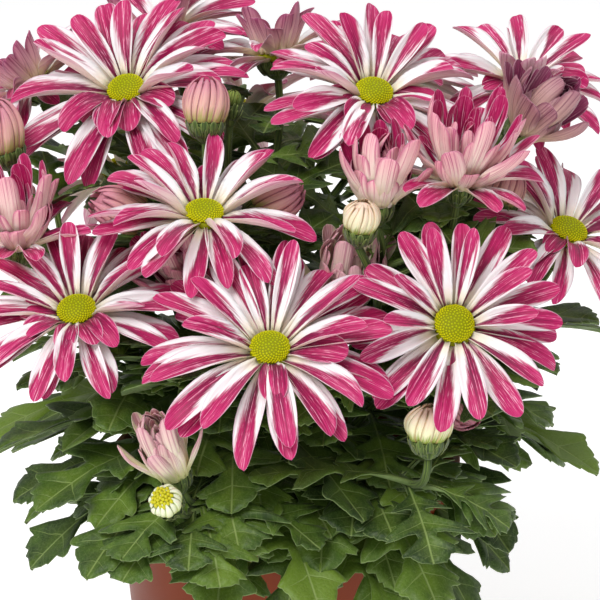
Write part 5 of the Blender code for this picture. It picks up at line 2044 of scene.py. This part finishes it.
@dataclass(frozen=True)
class Pot:
    """The moulded pot: one turned profile with a rim, a step under its band and drain holes in its floor."""

    segments: int = 160

    def dress(self, material: Material) -> None:
        """Turn the profile (r cos a, r sin a, h) with its corners rounded, then cut the drains.

        Args:
            material: the pot's finish.
        """
        foot_in = FOOT_RADIUS + (BODY_TOP_RADIUS - FOOT_RADIUS) * POT_FLOOR / BAND_FOOT - WALL
        corners = (
            (0, POT_FLOOR, 0),
            (foot_in, POT_FLOOR, 1.2),
            (BODY_TOP_RADIUS - WALL, BAND_FOOT, 2),
            (RIM_RADIUS - 1.6 * WALL, POT_HEIGHT, 0.8),
            (RIM_RADIUS, POT_HEIGHT, 0.9),
            (RIM_RADIUS - 0.3 * WALL, BAND_FOOT, 0.7),
            (BODY_TOP_RADIUS, BAND_FOOT - 1.5 * MM, 1.2),
            (FOOT_RADIUS, 0, 1.4),
            (FOOT_RADIUS - 3.2 * MM, 0, 0.3),
            (FOOT_RADIUS - 4.0 * MM, 0.5 * MM, 0.3),
            (0, 0.5 * MM, 0),
        )
        patch = Patchwork()
        patch.add(turned(rounded(corners), self.segments), True)
        pot = patch.piece("moulded_pot", material, ["pot"], "pot_plastic")
        self.cut_drains(pot)
        pot.data.set_sharp_from_angle(angle=radians(40))

    def cut_drains(self, pot: bpy.types.Object) -> None:
        """Cut the round drain holes through the floor.

        Args:
            pot: the pot's object.
        """
        bm = bmesh.new()
        for spoke in spokes(DRAINS):
            drill = bmesh.ops.create_cone(
                bm, cap_ends=True, segments=24, radius1=DRAIN_RADIUS, radius2=DRAIN_RADIUS, depth=4 * POT_FLOOR
            )
            bmesh.ops.translate(bm, verts=drill["verts"], vec=DRAIN_CIRCLE * spoke)
        mesh = bpy.data.meshes.new("drain_cutter")
        bm.to_mesh(mesh)
        bm.free()
        cutter = bpy.data.objects.new("drain_cutter", mesh)
        bpy.context.scene.collection.objects.link(cutter)
        boolean = pot.modifiers.new("Drains", "BOOLEAN")
        boolean.operation = "DIFFERENCE"
        boolean.object = cutter
        bpy.context.view_layer.update()
        evaluated = pot.evaluated_get(bpy.context.evaluated_depsgraph_get())
        cut = bpy.data.meshes.new_from_object(evaluated)
        pot.modifiers.clear()
        pot.data = cut
        bpy.data.objects.remove(cutter)


def rounded(corners: Sequence[tuple[float, float, float]], steps: int = 5) -> Array:
    """A profile with rounded corners: each corner gives way to a parabola between points its radius away.

    Args:
        corners: (radius, height, rounding in mm) of each corner.
        steps: how many points a rounded corner gets.

    Returns:
        n x 2.
    """
    places = np.array([corner[:2] for corner in corners])
    made = [places[:1]]
    t = np.linspace(0, 1, steps)[:, None]
    for i in range(1, len(corners) - 1):
        here, size = places[i], corners[i][2] * MM
        before = here + unit(places[i - 1] - here) * size
        after = here + unit(places[i + 1] - here) * size
        made.append((1 - t) ** 2 * before + 2 * t * (1 - t) * here + t**2 * after)
    return np.concatenate((*made, places[-1:]))


@dataclass(frozen=True)
class Peat:
    """The soil: crumbly on top, filling the pot's inside."""

    rings: int = 46
    segments: int = 150

    def dress(self, material: Material) -> None:
        """Turn the fill's outline, with crumbs on its top.

        The top is the low cone of the solid plus three products of sines of x and y that stand in for crumbs 3 to
        9 mm across, faded out at the wall.

        Args:
            material: the finish of the soil.
        """
        low = POT_FLOOR + SOLID_GAP
        slope = (BODY_TOP_RADIUS - FOOT_RADIUS) / BAND_FOOT
        edge = FOOT_RADIUS + slope * SOIL_EDGE_HEIGHT - WALL - SOLID_GAP
        foot = FOOT_RADIUS + slope * low - WALL - SOLID_GAP
        radius = np.linspace(0, edge, self.rings)
        spoke = spokes(self.segments)
        x, y = radius[:, None] * spoke[:, 0], radius[:, None] * spoke[:, 1]
        crumbs = np.zeros_like(x)
        for size, tall in ((9, 0.8), (5, 0.5), (3, 0.4)):
            k = 2 * pi / (size * MM)
            bumps = np.sin(k * x + 2 * np.sin(0.7 * k * y)) * np.sin(0.9 * k * y + 2 * np.cos(0.6 * k * x))
            crumbs += tall * MM * bumps
        crumbs *= smooth_step(edge - radius, 0.0, 2 * MM)[:, None]
        top = stacked(x, y, soil_height(radius)[:, None] + crumbs - 0.6 * MM)
        below = np.array(((foot, low), (0.0, low)))
        patch = Patchwork()
        patch.add(np.concatenate((top, turned(below, self.segments))), True)
        patch.piece("peat", material, ["soil"], "peat_soil")


@dataclass(frozen=True)
class Studio:
    """A plain pale floor, soft light from above and in front, and the camera."""

    distance: float = 0.90
    elevation: float = 18.0
    target: tuple[float, float, float] = (0.0052, 0.0, 0.160)
    scale: float = 0.336e-3
    paper: float = 6.0

    def dress(self) -> None:
        """Build the floor, the lights and the camera."""
        self.floor()
        self.sky()
        self.softbox("key_light", (-0.5, -0.95, 1.3), 16, 0.7)
        self.softbox("top_light", (0.35, 0.3, 1.4), 5, 0.8)
        self.camera()

    def floor(self) -> None:
        """A wide level sheet of white paper, lit a little from below as on a light table."""
        mesh = bpy.data.meshes.new("floor")
        corners = [(x * self.paper, y * self.paper, 0) for x, y in ((-1, -1), (1, -1), (1, 1), (-1, 1))]
        mesh.from_pydata(corners, [], [(0, 1, 2, 3)])
        floor_ = bpy.data.objects.new("floor", mesh)
        bpy.context.scene.collection.objects.link(floor_)
        white = (0.93, 0.93, 0.93, 1)
        sheet = Finish(
            "pale_paper_lit", Roughness=0.9, Base_Color=white, Emission_Color=white, Emission_Strength=0.38
        )
        mesh.materials.append(sheet.material)

    def sky(self) -> None:
        """Even white light from all round."""
        world = bpy.data.worlds.new("soft_white")
        world.use_nodes = True
        world.node_tree.nodes["Background"].inputs["Color"].default_value = (1, 1, 1, 1)
        world.node_tree.nodes["Background"].inputs["Strength"].default_value = 0.5
        bpy.context.scene.world = world

    def softbox(self, name: str, place: tuple[float, float, float], power: float, size: float) -> None:
        """A square area light that faces the middle of the plant.

        Args:
            name: its name.
            place: where it hangs.
            power: in watts.
            size: its side.
        """
        light = bpy.data.lights.new(name, "AREA")
        light.energy = power
        light.size = size
        lamp = bpy.data.objects.new(name, light)
        bpy.context.scene.collection.objects.link(lamp)
        lamp.location = place
        back = unit(np.array(place) - (0, 0, 0.15))
        lamp.rotation_euler = (float(np.arccos(back[2])), 0.0, atan2(back[1], back[0]) + pi / 2)

    def camera(self) -> None:
        """The photograph's view: from a little above, with a long lens that has its scale at the pot's axis."""
        lens = bpy.data.cameras.new("portrait")
        lens.sensor_width = 36
        lens.lens = lens.sensor_width / (600 * self.scale / self.distance)
        view = bpy.data.objects.new("portrait", lens)
        bpy.context.scene.collection.objects.link(view)
        lean = radians(self.elevation)
        view.location = np.array(self.target) + self.distance * np.array((0, -cos(lean), sin(lean)))
        view.rotation_euler = (pi / 2 - lean, 0, 0)
        bpy.context.scene.camera = view
        bpy.context.scene.view_settings.view_transform = "Standard"


HEAD_SOLIDS = [Solid(name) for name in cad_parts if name.startswith(("bloom", "half_open", "bud"))]


def main() -> None:
    """Build every sub-assembly in its place round the frame."""
    logging.basicConfig(level=logging.INFO, format="%(message)s")
    Studio().dress()
    Pot().dress(PotFinish("terracotta_polypropylene_moulded").material())
    Peat().dress(PeatFinish("peat_moist").material())
    stem, foliage = StemFinish("living_stem_ribbed").material(), LeafFinish("living_leaf_haired").material()
    for plant in range(1, len(PLANT_ANGLES) + 1):
        Cutting(plant).dress(stem, foliage)
    rays = RayFloretFinish("living_ray_floret").material()
    disc = DiscFinish("living_disc_floret").material()
    # A darker copy of the finish for the blooms in the shade at the back, with painted shade on their undersides
    shaded = RayFloretFinish(
        "living_ray_floret_deep_below",
        below_root="#E6D3B0",
        below="#DDAEB2",
        below_tip="#B05C80",
        below_vein="#852B58",
    ).material()
    for index, head in enumerate(BLOOMS):
        OpenBloom(head, index).dress(shaded if head.tint is BudTint.DUSKY else rays, disc)
    young = {
        BudTint.PINK: RayFloretFinish(
            "living_young_floret",
            below_root="#F4E5BA",
            below="#FEE8DA",
            below_tip="#E9A0AE",
            below_vein="#C26286",
            band=0.25,
        ).material(),
        BudTint.CREAM: RayFloretFinish(
            "living_closed_floret",
            shaded_root="#94665C",
            deep="#B2787C",
            full="#C98D95",
            bright="#DBAEB0",
            margin="#E6E0B8",
            root="#C6C983",
            below_root="#DAD998",
            below="#F8EAD6",
            below_tip="#DFA9B2",
            below_vein="#C08090",
            band=-0.4,
        ).material(),
        # A darker copy for a head in the shade: painted shade on both sides, with a fuller band
        BudTint.DUSKY: RayFloretFinish(
            "living_dusky_floret",
            shaded_root="#4E1030",
            deep="#6B1A44",
            full="#8A2A58",
            bright="#A34A72",
            rim="#D9B4C0",
            margin="#E9D3D0",
            below_root="#D6C29E",
            below="#D2ABA0",
            below_tip="#A8707F",
            below_vein="#773F53",
            band=0.5,
        ).material(),
    }
    for index, head in enumerate(HALF_OPEN, len(BLOOMS)):
        HalfOpenHead(head, index).dress(young[head.tint])
    tints = {
        BudTint.CREAM: BudFinish("living_bud_cream", "#94A545", "#EFEBC0", "#F2D8C2", "#C4A272").material(),
        BudTint.LEMON: BudFinish("living_bud_lemon", "#86A038", "#D9E0A0", "#F3F3DC", "#9DAA58").material(),
        BudTint.PINK: BudFinish("living_bud_pink", "#ABA45E", "#E3B3A3", "#CC8595", "#8B4356").material(),
        BudTint.GREEN: BudFinish("living_bud_green", "#44561F", "#61742C", "#7F8F3A", "#3B4A1A").material(),
    }
    for index, head in enumerate(BUDS, len(BLOOMS) + len(HALF_OPEN)):
        Bud(head, index).dress(tints[head.tint])


if __name__ == "__main__":
    main()
